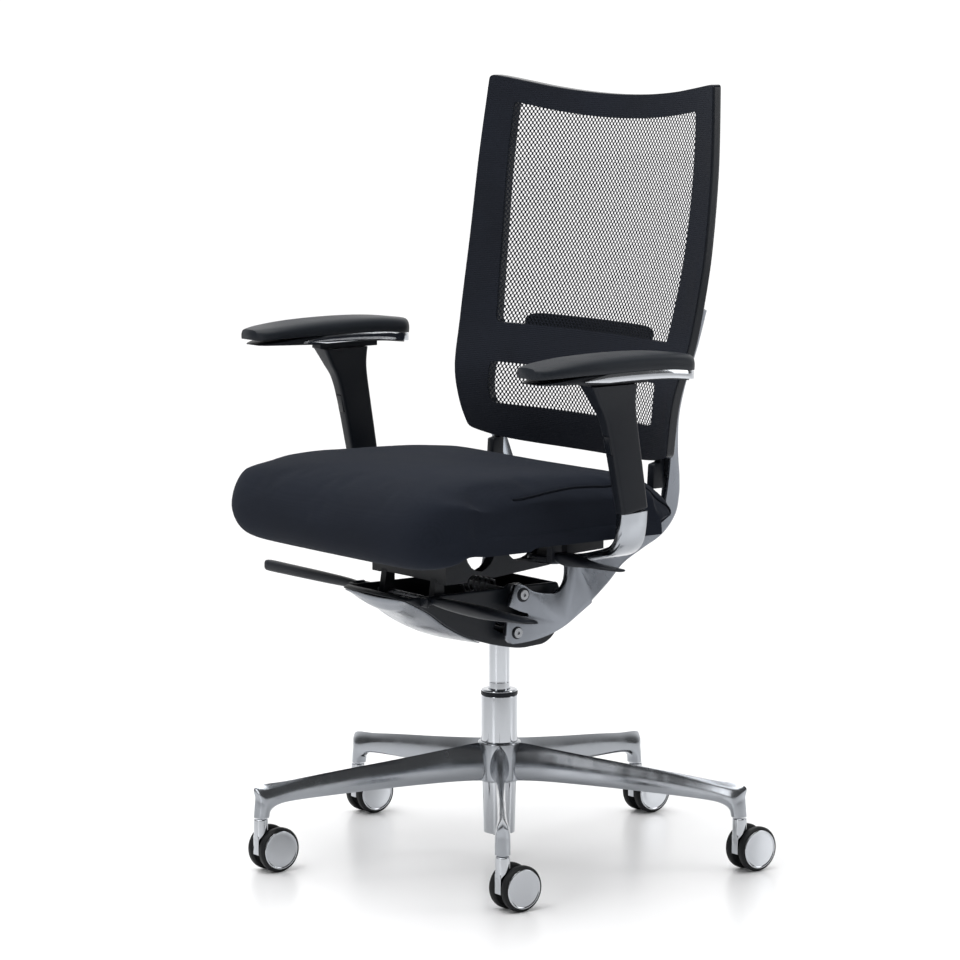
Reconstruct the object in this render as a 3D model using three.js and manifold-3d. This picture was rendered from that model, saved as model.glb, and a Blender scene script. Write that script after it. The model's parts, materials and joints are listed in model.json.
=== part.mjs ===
// Swivel office chair with a mesh back, a synchro tilt mechanism, adjustable arms and a five-spoke base.
// Millimetres, +Z up. The chair faces -Y, and +X is the left-hand side of a person sitting in it.
// Everything is drawn about the column axis, with the floor at z = 0.
import * as THREE from 'three';
import { mergeVertices } from 'three/addons/utils/BufferGeometryUtils.js';
import Module from 'manifold-3d';

const wasm = await Module();
wasm.setup();

// ---------------------------------------------------------------- driving dimensions

const fit = 0.3; // gap between pieces that touch
const running = 0.6; // gap between pieces that slide or turn

// castors
const castorCount = 5;
const wheelRadius = 30;
const wheelWidth = 12.5;
const wheelGap = 13.4; // between the two wheels of one castor
const castorTrail = 20; // from the swivel axis back to the axle
const castorNeck = 72; // height of the top of the castor housing
const castorSleeveRadius = 9.5;
const stemRadius = 5.5;
const stemLength = 27;
const axleRadius = 4;

// base
const pivotCircle = 335; // radius of the circle of castor swivel axes
const hubRadius = 29;
const hubBottom = 104;
const hubTop = 158;
const spokeTipHeight = 116;
const spokeRootWidth = 30;
const spokeWaist = 11;
const spokeTipWidth = 20;

// column
const sleeveRadius = 24.5;
const sleeveFootRadius = 21;
const sleeveWall = 3;
const sleeveBottom = 32;
const sleeveTop = 221;
const collarHeight = 8;
const cylinderRadius = 14;
const cylinderWall = 1.8;
const cylinderBottom = 108;
const rodRadius = 5;
const rodTop = 200;
const plugHeight = 345; // top of the gas cylinder, inside the mechanism

// tilt mechanism
const housingHalfWidth = 75;
const housingWall = 4;
const housingTop = 380;
const housingFloor = 284.5;
const trayHalfWidth = housingHalfWidth - 7;
const recline = { y: -32, z: 372 }; // axis of the back
const stop = { y: -42, z: 322 }; // rod that runs in the stop slots
const reclineLimit = 20; // degrees
const frontPin = { y: -146, z: 368 }; // axis of the seat carrier
const shaftRadius = 5;
const stopRodRadius = 4;
const lever = { y: -172, z: 376, x: housingHalfWidth + 9, tip: 307 };
const earThickness = 12; // ears of the seat carrier, inside the housing
const earOuter = housingHalfWidth - housingWall - 9;
const leverPinRadius = 3;

// seat
const carrierHalfWidth = housingHalfWidth + 9;
const carrierRail = 17;
const panHeight = 431.5; // underside of the seat pan, between the rails
const panRise = 0.18; // slope of the pan towards its two sides
const panThickness = 7;
const panHalfWidth = 226;
const panFront = -212;
const panRear = 108;
const cushionHalfWidth = 250;
const cushionFront = -305;
const cushionRear = 136;
const cushionTop = 545;
const cushionGap = 3.4; // between the pan and the cushion's underside

// back
const backBottom = 545;
const backTop = 1048;
const backTopDip = 24; // how far the top edge sags in the middle
const backBow = 36; // depth of the curve in plan
const backDepth = 13;
const meshThickness = 1.6;
const backColumns = 12; // facets across and up the curved back
const backRows = 16;
const armWidth = 9; // thickness of the side plates of the back arms
const armInner = housingHalfWidth + 11.5; // inner face of those plates
const upperWindow = { half: 190, halfTop: 200, low: 703, high: 1010, dip: 17 };
const lowerWindow = { half: 184, low: 592, high: 652, corner: 28 };
const legX = 178; // middle of the two legs below the frame, in front of the arms
const legHalf = 7;
const legBottom = 511;
const lumbarHalf = 140;
const lumbarLow = 657;
const lumbarHigh = 721;

// armrests
const postX = 300;
const postFootY = -12;
const postFootZ = 505;
const postRake = 10.5; // degrees, leaning forward
const postLength = 168;
const postDepth = 42;
const postThickness = 19;
const innerDepth = 28;
const innerThickness = 9;
const innerLength = 142;
const padX = 314;
const padFront = -193;
const padRear = 58;
const padHalfWidth = 40;
const padZ = 688;
const trimHeight = 11.6;
const guideZ = 671; // height of the face on which the pad slides
const guide = { half: 11, front: -92, rear: 4 };

// ---------------------------------------------------------------- finishes

const finish = (color, roughness, metalness) => new THREE.MeshStandardMaterial({ color, roughness, metalness });
const polished = finish('#c9ccd2', 0.18, 1);
const chrome = finish('#dfe2e6', 0.08, 1);
const steel = finish('#9a9da3', 0.35, 1);
const blackPlastic = finish('#15181e', 0.5, 0);
const blackMetal = finish('#101216', 0.4, 0.2);
const tyre = finish('#0d0e10', 0.6, 0);
const fabric = finish('#1a1e27', 0.9, 0);
const netting = finish('#181b22', 0.85, 0);
const padding = finish('#15181d', 0.65, 0);

// ---------------------------------------------------------------- helpers

const v3 = (x, y, z) => new THREE.Vector3(x, y, z);
const radians = THREE.MathUtils.degToRad;

function signedVolume(geometry) {
  const p = geometry.attributes.position;
  const index = geometry.index.array;
  const [a, b, c] = [v3(), v3(), v3()];
  let sum = 0;
  for (let i = 0; i < index.length; i += 3) {
    a.fromBufferAttribute(p, index[i]);
    b.fromBufferAttribute(p, index[i + 1]);
    c.fromBufferAttribute(p, index[i + 2]);
    sum += a.dot(b.cross(c));
  }
  return sum / 6;
}

// merges shared vertices, drops empty triangles and turns the faces outwards
function closed(geometry) {
  const bare = geometry.index ? geometry.toNonIndexed() : geometry.clone();
  for (const name of Object.keys(bare.attributes)) {
    if (name !== 'position') bare.deleteAttribute(name);
  }
  const merged = mergeVertices(bare, 1e-3);
  const index = merged.index.array;
  const kept = [];
  for (let i = 0; i < index.length; i += 3) {
    const [a, b, c] = [index[i], index[i + 1], index[i + 2]];
    if (a !== b && b !== c && c !== a) kept.push(a, b, c);
  }
  merged.setIndex(kept);
  if (signedVolume(merged) < 0) merged.setIndex(kept.reverse());
  merged.computeVertexNormals();
  return merged;
}

function solid(geometry) {
  const clean = closed(geometry);
  return new wasm.Manifold(new wasm.Mesh({
    numProp: 3,
    vertProperties: Float32Array.from(clean.attributes.position.array),
    triVerts: Uint32Array.from(clean.index.array),
  }));
}

function surface(body) {
  const mesh = body.getMesh();
  const geometry = new THREE.BufferGeometry();
  geometry.setAttribute('position', new THREE.BufferAttribute(Float32Array.from(mesh.vertProperties), 3));
  geometry.setIndex(Array.from(mesh.triVerts));
  geometry.computeVertexNormals();
  return geometry;
}

const union = (...bodies) => bodies.reduce((all, body) => all.add(body));
const cut = (body, ...tools) => tools.reduce((left, tool) => left.subtract(tool), body);

function mirrored(geometry) {
  return closed(geometry.clone().scale(-1, 1, 1));
}

// a closed skin over rings of points; every ring has the same number of points
function loft(rings) {
  const count = rings[0].length;
  const points = rings.flat();
  const index = [];
  for (let r = 0; r < rings.length - 1; r++) {
    for (let i = 0; i < count; i++) {
      const a = r * count + i;
      const b = r * count + ((i + 1) % count);
      index.push(a, b, b + count, a, b + count, a + count);
    }
  }
  for (const [r, flip] of [[0, true], [rings.length - 1, false]]) {
    const centre = rings[r].reduce((sum, p) => sum.add(p), v3()).divideScalar(count);
    points.push(centre);
    for (let i = 0; i < count; i++) {
      const a = r * count + i;
      const b = r * count + ((i + 1) % count);
      index.push(...(flip ? [b, a] : [a, b]), points.length - 1);
    }
  }
  const geometry = new THREE.BufferGeometry().setFromPoints(points);
  geometry.setIndex(index);
  return closed(geometry);
}

// a profile of [radius, height] points turned about +Z
function turned(profile, segments = 24) {
  const points = profile.map(([r, z]) => new THREE.Vector2(r, z));
  return new THREE.LatheGeometry(points, segments).rotateX(Math.PI / 2);
}

function ring(inner, outer, low, high, segments = 24) {
  return turned([[inner, low], [outer, low], [outer, high], [inner, high], [inner, low]], segments);
}

function rod(radius, from, to, segments = 20) {
  const length = from.distanceTo(to);
  const geometry = new THREE.CylinderGeometry(radius, radius, length, segments);
  const turn = new THREE.Quaternion().setFromUnitVectors(v3(0, 1, 0), to.clone().sub(from).normalize());
  const middle = from.clone().add(to).divideScalar(2);
  return geometry.applyQuaternion(turn).translate(middle.x, middle.y, middle.z);
}

function block(low, high) {
  const size = high.clone().sub(low);
  const middle = low.clone().add(high).divideScalar(2);
  return new THREE.BoxGeometry(size.x, size.y, size.z).translate(middle.x, middle.y, middle.z);
}

// an outline drawn in (y, z), extruded along X from x0 to x1
function sideways(outline, x0, x1, curveSegments = 8) {
  const geometry = new THREE.ExtrudeGeometry(outline, { depth: x1 - x0, bevelEnabled: false, curveSegments });
  const toYZ = new THREE.Matrix4().makeBasis(v3(0, 1, 0), v3(0, 0, 1), v3(1, 0, 0));
  return geometry.applyMatrix4(toYZ).translate(x0, 0, 0);
}

// an outline drawn in (x, z), extruded along Y
function frontways(outline, y0, y1, curveSegments = 8) {
  const geometry = new THREE.ExtrudeGeometry(outline, { depth: y1 - y0, bevelEnabled: false, curveSegments });
  const toXZ = new THREE.Matrix4().makeBasis(v3(1, 0, 0), v3(0, 0, 1), v3(0, 1, 0));
  return closed(geometry.applyMatrix4(toXZ).translate(0, y0, 0));
}

function polygon(points) {
  return new THREE.Shape(points.map(([a, b]) => new THREE.Vector2(a, b)));
}

function roundedRectangle(halfA, halfB, corner) {
  const shape = new THREE.Shape();
  shape.absarc(halfA - corner, halfB - corner, corner, 0, Math.PI / 2);
  shape.absarc(corner - halfA, halfB - corner, corner, Math.PI / 2, Math.PI);
  shape.absarc(corner - halfA, corner - halfB, corner, Math.PI, 1.5 * Math.PI);
  shape.absarc(halfA - corner, corner - halfB, corner, 1.5 * Math.PI, 2 * Math.PI);
  return shape;
}

// smooth curve through [at, value] pairs
function curveOf(pairs) {
  const curve = new THREE.SplineCurve(pairs.map(([a, b]) => new THREE.Vector2(a, b)));
  const points = curve.getPoints(pairs.length * 12);
  return (at) => {
    if (at <= points[0].x) return points[0].y;
    for (let i = 1; i < points.length; i++) {
      if (at <= points[i].x) {
        const share = (at - points[i - 1].x) / (points[i].x - points[i - 1].x);
        return THREE.MathUtils.lerp(points[i - 1].y, points[i].y, share);
      }
    }
    return points[points.length - 1].y;
  };
}

const chair = new THREE.Group();

function add(name, geometry, material, parent = chair) {
  const mesh = new THREE.Mesh(closed(geometry), material);
  mesh.name = name;
  parent.add(mesh);
  return mesh;
}

// ---------------------------------------------------------------- base

const sleeveRadiusAt = (z) => THREE.MathUtils.mapLinear(
  THREE.MathUtils.clamp(z, sleeveBottom, hubTop), sleeveBottom, hubTop, sleeveFootRadius, sleeveRadius);

// one spoke along +X: a thin blade with a sharp upper ridge that turns down into the castor socket
function spoke() {
  const tip = pivotCircle + castorSleeveRadius;
  const heel = pivotCircle - castorSleeveRadius - 1;
  const foot = castorNeck + 2;
  const stations = [ // outer point (r, z), inner point (r, z), width
    [16, hubTop - 1, 16, hubBottom, spokeRootWidth],
    [40, hubTop - 3, 40, hubBottom + 1, 21],
    [75, hubTop - 8, 75, hubBottom + 1, 14],
    [150, 140, 150, 102.5, 12],
    [235, 129.5, 235, 98, spokeWaist],
    [295, 121.5, 288, 94.5, 13],
    [tip - 4, spokeTipHeight, heel - 14, 91, spokeTipWidth - 1],
    [tip - 2, 99, heel - 3, 84, spokeTipWidth],
    [tip, foot, heel, foot, spokeTipWidth],
  ];
  const curves = [0, 1, 2, 3, 4].map((k) => new THREE.CatmullRomCurve3(
    stations.map((s, i) => v3(s[k], i, 0)), false, 'catmullrom', 0.5));
  const section = [[0, 0], [0.24, 0.34], [0.6, 0.5], [0.9, 0.4], [1, 0.2]];
  const steps = 13;
  const rings = [];
  for (let i = 0; i <= steps; i++) {
    const [r0, z0, r1, z1, width] = curves.map((c) => c.getPoint(i / steps).x);
    const at = ([u, side], sign) => v3(
      THREE.MathUtils.lerp(r0, r1, u), sign * side * width, THREE.MathUtils.lerp(z0, z1, u));
    rings.push([
      ...section.map((s) => at(s, 1)),
      ...section.slice(1).reverse().map((s) => at(s, -1)),
    ]);
  }
  return loft(rings);
}

function baseStar() {
  const hub = turned([
    [0, hubBottom], [hubRadius - 3, hubBottom], [hubRadius, hubBottom + 3],
    [hubRadius, hubTop - 3], [hubRadius - 2, hubTop], [0, hubTop],
  ], 30);
  const arm = spoke();
  let body = solid(hub);
  const sockets = [];
  for (let i = 0; i < castorCount; i++) {
    const angle = spokeAngle(i);
    body = body.add(solid(arm.clone().rotateZ(angle)));
    const at = pivotAt(i);
    const top = castorNeck + stemLength + 1;
    sockets.push(solid(rod(stemRadius + fit, v3(at.x, at.y, castorNeck - 5), v3(at.x, at.y, top), 12)));
  }
  const bore = turned([
    [0, hubBottom - 20], [sleeveRadiusAt(hubBottom - 20) + fit, hubBottom - 20],
    [sleeveRadiusAt(hubTop) + fit, hubTop], [sleeveRadius + fit, hubTop + 10], [0, hubTop + 10],
  ], 24);
  return surface(cut(body, solid(bore), ...sockets));
}

function spokeAngle(i) {
  return Math.PI + (i * 2 * Math.PI) / castorCount;
}

function pivotAt(i) {
  return v3(pivotCircle * Math.cos(spokeAngle(i)), pivotCircle * Math.sin(spokeAngle(i)), 0);
}

add('base_star', baseStar(), polished);

// ---------------------------------------------------------------- castors

// chrome sleeve with its stem above and a narrow web below that carries the axle
function castorHousing() {
  const stem = turned([
    [0, castorNeck - 1], [stemRadius, castorNeck - 1], [stemRadius, castorNeck + stemLength - 1],
    [stemRadius - 1, castorNeck + stemLength], [0, castorNeck + stemLength],
  ], 12);
  const collar = turned([
    [0, 46], [castorSleeveRadius, 46], [castorSleeveRadius, castorNeck - 1.5],
    [castorSleeveRadius - 1.5, castorNeck], [0, castorNeck],
  ], 16);
  const half = wheelGap / 2 - running;
  const web = new THREE.Shape();
  web.moveTo(-castorSleeveRadius + 1, 50);
  web.lineTo(-castorSleeveRadius + 1, 24);
  web.absarc(castorTrail, wheelRadius, 10, 1.35 * Math.PI, 2.4 * Math.PI, false);
  web.lineTo(castorSleeveRadius - 1, 50);
  web.closePath();
  const clear = wheelRadius + 1.2;
  const beside = wheelGap / 2 - 0.4;
  const room = [beside, -beside - wheelWidth - 2].map((x) => solid(
    rod(clear, v3(x, castorTrail, wheelRadius), v3(x + wheelWidth + 2, castorTrail, wheelRadius), 18)));
  const bore = solid(rod(axleRadius + fit, v3(-20, castorTrail, wheelRadius), v3(20, castorTrail, wheelRadius), 12));
  const body = union(solid(collar), solid(stem), solid(sideways(web, -half, half, 6)));
  return surface(cut(body, ...room, bore));
}

// one wheel with its rim recess on the outer face, centred on the axle, outer face towards +X
function castorWheel() {
  const inner = wheelGap / 2;
  const outer = inner + wheelWidth;
  const bore = axleRadius + fit;
  const profile = [
    [bore, inner], [wheelRadius - 3, inner], [wheelRadius, inner + 3], [wheelRadius, outer - 3],
    [wheelRadius - 3, outer], [0, outer], [0, outer - 3], [bore, outer - 3], [bore, inner],
  ];
  return turned(profile, 20).rotateY(Math.PI / 2);
}

function castors() {
  const housing = castorHousing();
  const wheel = closed(castorWheel());
  const reach = wheelGap / 2 + wheelWidth - 3.6;
  const axle = rod(axleRadius, v3(-reach, 0, 0), v3(reach, 0, 0), 12);
  for (let i = 0; i < castorCount; i++) {
    const group = new THREE.Group();
    group.position.copy(pivotAt(i));
    chair.add(group);
    const name = `castor_${i + 1}`;
    add(`${name}_housing`, housing, chrome, group);
    const parts = [
      ['axle', axle, steel],
      ['wheel_left', wheel, tyre],
      ['wheel_right', mirrored(wheel), tyre],
    ];
    for (const [part, geometry, material] of parts) {
      add(`${name}_${part}`, geometry, material, group).position.set(0, castorTrail, wheelRadius);
    }
  }
}

castors();

// ---------------------------------------------------------------- column

function columnSleeve() {
  const foot = sleeveBottom + 6;
  const neck = sleeveRadius - sleeveWall;
  return turned([
    [rodRadius + 2, sleeveBottom], [sleeveFootRadius, sleeveBottom], [sleeveRadius, hubTop],
    [sleeveRadius, sleeveTop], [neck, sleeveTop], [neck, hubTop - 10], [sleeveFootRadius - sleeveWall, foot + 10],
    [sleeveFootRadius - sleeveWall, foot], [rodRadius + 2, foot], [rodRadius + 2, sleeveBottom],
  ], 24);
}

function guideBush() {
  const bore = cylinderRadius + running;
  const skirt = sleeveRadius - sleeveWall - fit;
  const seat = sleeveTop + fit;
  return turned([
    [bore, hubTop - 5], [skirt, hubTop - 5], [skirt, seat], [sleeveRadius + 0.6, seat],
    [sleeveRadius + 0.6, seat + collarHeight - 2], [sleeveRadius - 2, seat + collarHeight],
    [bore, seat + collarHeight], [bore, hubTop - 5],
  ], 24);
}

function pistonRod() {
  const shoulder = sleeveBottom + 6 + fit + 6 + fit;
  const groove = sleeveBottom - 3.4;
  return turned([
    [0, sleeveBottom - 5], [rodRadius, sleeveBottom - 5], [rodRadius, groove - 0.4], [rodRadius - 1.2, groove - 0.4],
    [rodRadius - 1.2, groove + 2.2], [rodRadius, groove + 2.2], [rodRadius, shoulder], [9, shoulder],
    [9, shoulder + 4], [rodRadius, shoulder + 4], [rodRadius, rodTop - 10],
    [cylinderRadius - cylinderWall - fit, rodTop - 10], [cylinderRadius - cylinderWall - fit, rodTop], [0, rodTop],
  ], 16);
}

function retainingClip() {
  const low = sleeveBottom - 3.4;
  const washer = solid(ring(rodRadius - 1.2 + fit, 10, low, low + 1.8, 16));
  return surface(cut(washer, solid(block(v3(-2, 0, low - 1), v3(2, 12, low + 3)))));
}

function gasCylinder() {
  const inner = cylinderRadius - cylinderWall;
  const hole = rodRadius + fit;
  const plug = plugHeight - 14;
  return turned([
    [hole, cylinderBottom], [cylinderRadius, cylinderBottom], [cylinderRadius, housingFloor + 10],
    [cylinderRadius - 0.6, plugHeight - 1], [cylinderRadius - 1.6, plugHeight], [3.2 + fit, plugHeight],
    [3.2 + fit, plug], [inner, plug], [inner, cylinderBottom + 5], [hole, cylinderBottom + 5], [hole, cylinderBottom],
  ], 20);
}

function valveButton() {
  return turned([
    [0, plugHeight - 10], [3.2, plugHeight - 10], [3.2, plugHeight + 5], [2.4, plugHeight + 6], [0, plugHeight + 6],
  ], 14);
}

add('column_sleeve', columnSleeve(), chrome);
add('guide_bush', guideBush(), blackPlastic);
add('thrust_bearing', ring(rodRadius + 1, 14, sleeveBottom + 6 + fit, sleeveBottom + 12 + fit, 16), steel);
add('piston_rod', pistonRod(), chrome);
add('retaining_clip', retainingClip(), steel);
add('gas_cylinder', gasCylinder(), chrome);
add('valve_button', valveButton(), blackMetal);

// ---------------------------------------------------------------- tilt mechanism

// lower edge of the housing's side, from its front tip to the column, as (y, z)
const keel = curveOf([
  [-206, 377], [-196, 372], [-168, 357], [-140, 337], [-108, 319], [-72, 302], [-30, 287.5], [-12, housingFloor],
]);
const trayDrop = curveOf([[-204, 4], [-190, 13], [-145, 9.5], [-108, 6], [-84, 2.4]]);

function arcSlot(centre, from, swing, radius) {
  const start = Math.atan2(from.z - centre.z, from.y - centre.y);
  const reach = Math.hypot(from.z - centre.z, from.y - centre.y);
  const low = start - radians(swing) - 0.02;
  const high = start + 0.02;
  const shape = new THREE.Shape();
  shape.absarc(centre.y, centre.z, reach + radius, low, high, false);
  shape.absarc(centre.y, centre.z, reach - radius, high, low, true);
  shape.closePath();
  const ends = [low, high].map((angle) => [centre.y + reach * Math.cos(angle), centre.z + reach * Math.sin(angle)]);
  return { shape, ends };
}

function housingOutline(inset) {
  const points = [];
  for (let y = -206 + inset * 2.2; y < -12; y += 32) points.push([y, keel(y) + inset * 1.12]);
  points.push([-12, housingFloor + inset]);
  points.push([24 - inset, housingFloor + inset], [46 - inset, 300 + inset], [56 - inset, 330], [52 - inset, 366]);
  points.push([42 - inset, housingTop + (inset ? 20 : 0)], [-200 + inset * 2.2, housingTop + (inset ? 20 : 0)]);
  return polygon(points);
}

function leverLug(side, centre, y0, y1) {
  const low = v3(side * (housingHalfWidth - 1), y0, centre.z - 8);
  const high = v3(side * (centre.x + 6), y1, Math.min(centre.z + 7, housingTop));
  return solid(block(v3(Math.min(low.x, high.x), y0, low.z), v3(Math.max(low.x, high.x), y1, high.z)));
}

function mechanismHousing() {
  const h = housingHalfWidth;
  const w = h - housingWall;
  let body = solid(sideways(housingOutline(0), -h, h));
  const lobe = polygon([[-50, 360], [-46, 378], [-40, 384.5], [-24, 384.5], [-14, 378], [-8, 360]]);
  for (const side of [[-h, -w], [w, h]]) body = body.add(solid(sideways(lobe, side[0], side[1])));
  body = body.subtract(solid(sideways(housingOutline(housingWall), -w, w)));
  body = body.add(solid(rod(cylinderRadius + 6, v3(0, 0, housingFloor), v3(0, 0, plugHeight - 8), 20)));
  for (const side of [-1, 1]) {
    for (const edge of [[-12.6, -8.4], [8.4, 12.6]]) {
      body = body.add(leverLug(side, lever, lever.y + edge[0], lever.y + edge[1]));
    }
  }
  const slot = arcSlot(recline, stop, reclineLimit, stopRodRadius + running);
  const across = (radius, y, z, from = -h - 20, to = h + 20) => solid(rod(radius, v3(from, y, z), v3(to, y, z), 14));
  const holes = [
    across(shaftRadius + fit, recline.y, recline.z),
    across(shaftRadius + fit, frontPin.y, frontPin.z),
    solid(sideways(slot.shape, -h - 5, h + 5, 5)),
    ...slot.ends.map(([y, z]) => across(stopRodRadius + running, y, z)),
    solid(turned([
      [0, housingFloor - 5], [cylinderRadius + fit, housingFloor - 5], [cylinderRadius + fit, housingFloor + 12],
      [cylinderRadius + fit, plugHeight], [0, plugHeight],
    ], 20)),
  ];
  for (const side of [-1, 1]) {
    const x = side * lever.x;
    holes.push(solid(rod(leverPinRadius + fit, v3(x, lever.y - 20, lever.z), v3(x, lever.y + 20, lever.z), 10)));
  }
  return surface(cut(body, ...holes));
}

// shallow polished tray that closes the front of the housing from below
function bellyTray() {
  const rings = [];
  for (let y = -204; y <= -84; y += 15) {
    const ring = [];
    const across = 8;
    const edge = keel(y) - fit - 0.4;
    const sag = (x) => trayDrop(y) * (1 - (x / trayHalfWidth) ** 2);
    for (let i = 0; i <= across; i++) {
      const x = THREE.MathUtils.lerp(-trayHalfWidth, trayHalfWidth, i / across);
      ring.push(v3(x, y, edge - 1.2 - sag(x)));
    }
    for (let i = across; i >= 0; i--) {
      const x = THREE.MathUtils.lerp(-trayHalfWidth, trayHalfWidth, i / across);
      ring.push(v3(x, y, edge - Math.max(0, sag(x) - 2)));
    }
    rings.push(ring);
  }
  return stack(rings);
}

// like loft, for flat sections whose end caps are not star-shaped about their centre
function stack(rings) {
  const count = rings[0].length;
  const index = [];
  for (let r = 0; r < rings.length - 1; r++) {
    for (let i = 0; i < count; i++) {
      const a = r * count + i;
      const b = r * count + ((i + 1) % count);
      index.push(a, b, b + count, a, b + count, a + count);
    }
  }
  for (const r of [0, rings.length - 1]) {
    for (let i = 0; i < count / 2 - 1; i++) {
      const [a, b] = [r * count + i, r * count + i + 1];
      const [c, d] = [r * count + count - 2 - i, r * count + count - 1 - i];
      if (r === 0) index.push(b, a, d, b, d, c);
      else index.push(a, b, d, d, b, c);
    }
  }
  const geometry = new THREE.BufferGeometry().setFromPoints(rings.flat());
  geometry.setIndex(index);
  return closed(geometry);
}

// hexagon-socket bolt head and shank through both arms, along X
function crossShaft(radius, y, z, reach, headRadius, socket) {
  const shank = solid(rod(radius, v3(-reach, y, z), v3(reach, y, z), 14));
  const parts = [shank];
  const sockets = [];
  for (const side of [-1, 1]) {
    parts.push(solid(rod(headRadius, v3(side * reach, y, z), v3(side * (reach + 3), y, z), 14)));
    sockets.push(solid(rod(socket, v3(side * (reach + 1), y, z), v3(side * (reach + 8), y, z), 6)));
  }
  return surface(cut(union(...parts), ...sockets));
}

// coil wound about the recline axis
function torsionSpring() {
  const turns = 5;
  const coilRadius = 12;
  const wire = 1.9;
  const length = 62;
  const perTurn = 8;
  const rings = [];
  for (let i = 0; i <= turns * perTurn; i++) {
    const share = i / (turns * perTurn);
    const angle = share * turns * 2 * Math.PI;
    const out = v3(0, Math.cos(angle), Math.sin(angle));
    const centre = v3((share - 0.5) * length, recline.y, recline.z).addScaledVector(out, coilRadius);
    const ring = [];
    for (let k = 0; k < 5; k++) {
      const turn = (k / 5) * 2 * Math.PI;
      const offset = out.clone().multiplyScalar(wire * Math.cos(turn));
      ring.push(centre.clone().add(offset).add(v3(wire * Math.sin(turn), 0, 0)));
    }
    rings.push(ring);
  }
  return loft(rings);
}

// bar lever with a boss and two stub pins, on the side given by its sign
function barLever(side, shape) {
  const half = 8.4 - running;
  const boss = solid(rod(6, v3(lever.x, lever.y - half, lever.z), v3(lever.x, lever.y + half, lever.z), 14));
  const pin = solid(rod(leverPinRadius, v3(lever.x, lever.y - 12.4, lever.z), v3(lever.x, lever.y + 12.4, lever.z), 10));
  const rings = shape.map(([x, up, down, halfY]) => {
    const points = [];
    for (let k = 0; k < 10; k++) {
      const turn = (k / 10) * 2 * Math.PI;
      const height = Math.sin(turn) > 0 ? up : down;
      points.push(v3(x, lever.y + halfY * Math.cos(turn), lever.z + height * Math.sin(turn)));
    }
    return points;
  });
  const body = surface(union(boss, pin, solid(loft(rings))));
  return side > 0 ? body : mirrored(body);
}

function levers() {
  const tip = lever.tip;
  const paddle = [
    [lever.x, 4, 4, 6], [110, 6, 7, 7.4], [150, 7, 9, 9], [200, 6, 9, 12], [240, 4, 6.5, 13], [275, 2.6, 4, 12],
    [tip - 12, 2.2, 2.6, 10], [tip - 3, 1.8, 2, 6.5], [tip, 1, 1, 3],
  ];
  const bar = [
    [lever.x, 4, 4, 6], [110, 6, 6, 6.5], [160, 7, 7, 6.5], [250, 7.6, 7.6, 6], [tip - 8, 7.6, 7.6, 5.5],
    [tip - 3, 6, 6, 4.5], [tip, 2.5, 2.5, 2],
  ];
  add('tilt_lever', barLever(1, paddle), blackPlastic);
  add('height_lever', barLever(-1, bar), blackPlastic);
}

add('mechanism_housing', mechanismHousing(), blackMetal);
add('belly_tray', bellyTray(), polished);
add('recline_shaft', crossShaft(shaftRadius, recline.y, recline.z, armInner + armWidth + 0.4, 6.6, 2.6), steel);
add('stop_rod', crossShaft(stopRodRadius, stop.y, stop.z, armInner + armWidth + 0.4, 6.8, 2.4), steel);
add('torsion_spring', torsionSpring(), steel);
add('front_pin', rod(shaftRadius, v3(-housingHalfWidth - 1.5, frontPin.y, frontPin.z),
  v3(housingHalfWidth + 1.5, frontPin.y, frontPin.z), 18), steel);
levers();

// ---------------------------------------------------------------- back arms

function armPlateOutline() {
  const shape = new THREE.Shape();
  shape.moveTo(-58, 349);
  shape.lineTo(-59, 318);
  shape.absarc(-46, 319, 12, 1.05 * Math.PI, 1.5 * Math.PI, false);
  shape.quadraticCurveTo(10, 307, 46, 327);
  shape.lineTo(84, 350);
  shape.lineTo(84, 388);
  shape.lineTo(62, 415);
  shape.lineTo(42, 410);
  shape.lineTo(42, 394);
  shape.quadraticCurveTo(40, 371, 20, 369);
  shape.quadraticCurveTo(-8, 370, -22, 379);
  shape.quadraticCurveTo(-32, 388, -44, 386);
  shape.quadraticCurveTo(-50, 372, -55, 358);
  shape.quadraticCurveTo(-38, 349, -24, 346);
  shape.quadraticCurveTo(-22, 343.5, -25, 342.5);
  shape.quadraticCurveTo(-42, 344, -58, 349);
  return shape;
}

// lower edge, upper edge and thickness of the arm, from the plate up to the back frame
function armStations() {
  const x = armInner + armWidth / 2;
  const lower = [
    [x, 74, 344], [x + 1, 84, 352], [x + 27, 95, 382], [x + 51, 102, 411], [x + 69, 117, 430],
    [x + 81, 141, 449], [x + 87, 157, 474], [x + 91, 160, 500], [x + 97, 155, 528],
  ];
  const upper = [
    [x, 44, 409], [x + 1, 58, 410], [x + 18, 64, 418], [x + 42, 78, 428], [x + 61, 96, 438],
    [x + 74, 119, 452], [x + 82, 136, 474], [x + 87, 137, 500], [x + 94, 135, 527],
  ];
  const thickness = [armWidth, armWidth, 11, 12, 12, 12, 13, 14, 15];
  return lower.map((low, i) => ({ low: v3(...low), high: v3(...upper[i]), thickness: thickness[i] }));
}

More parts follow.
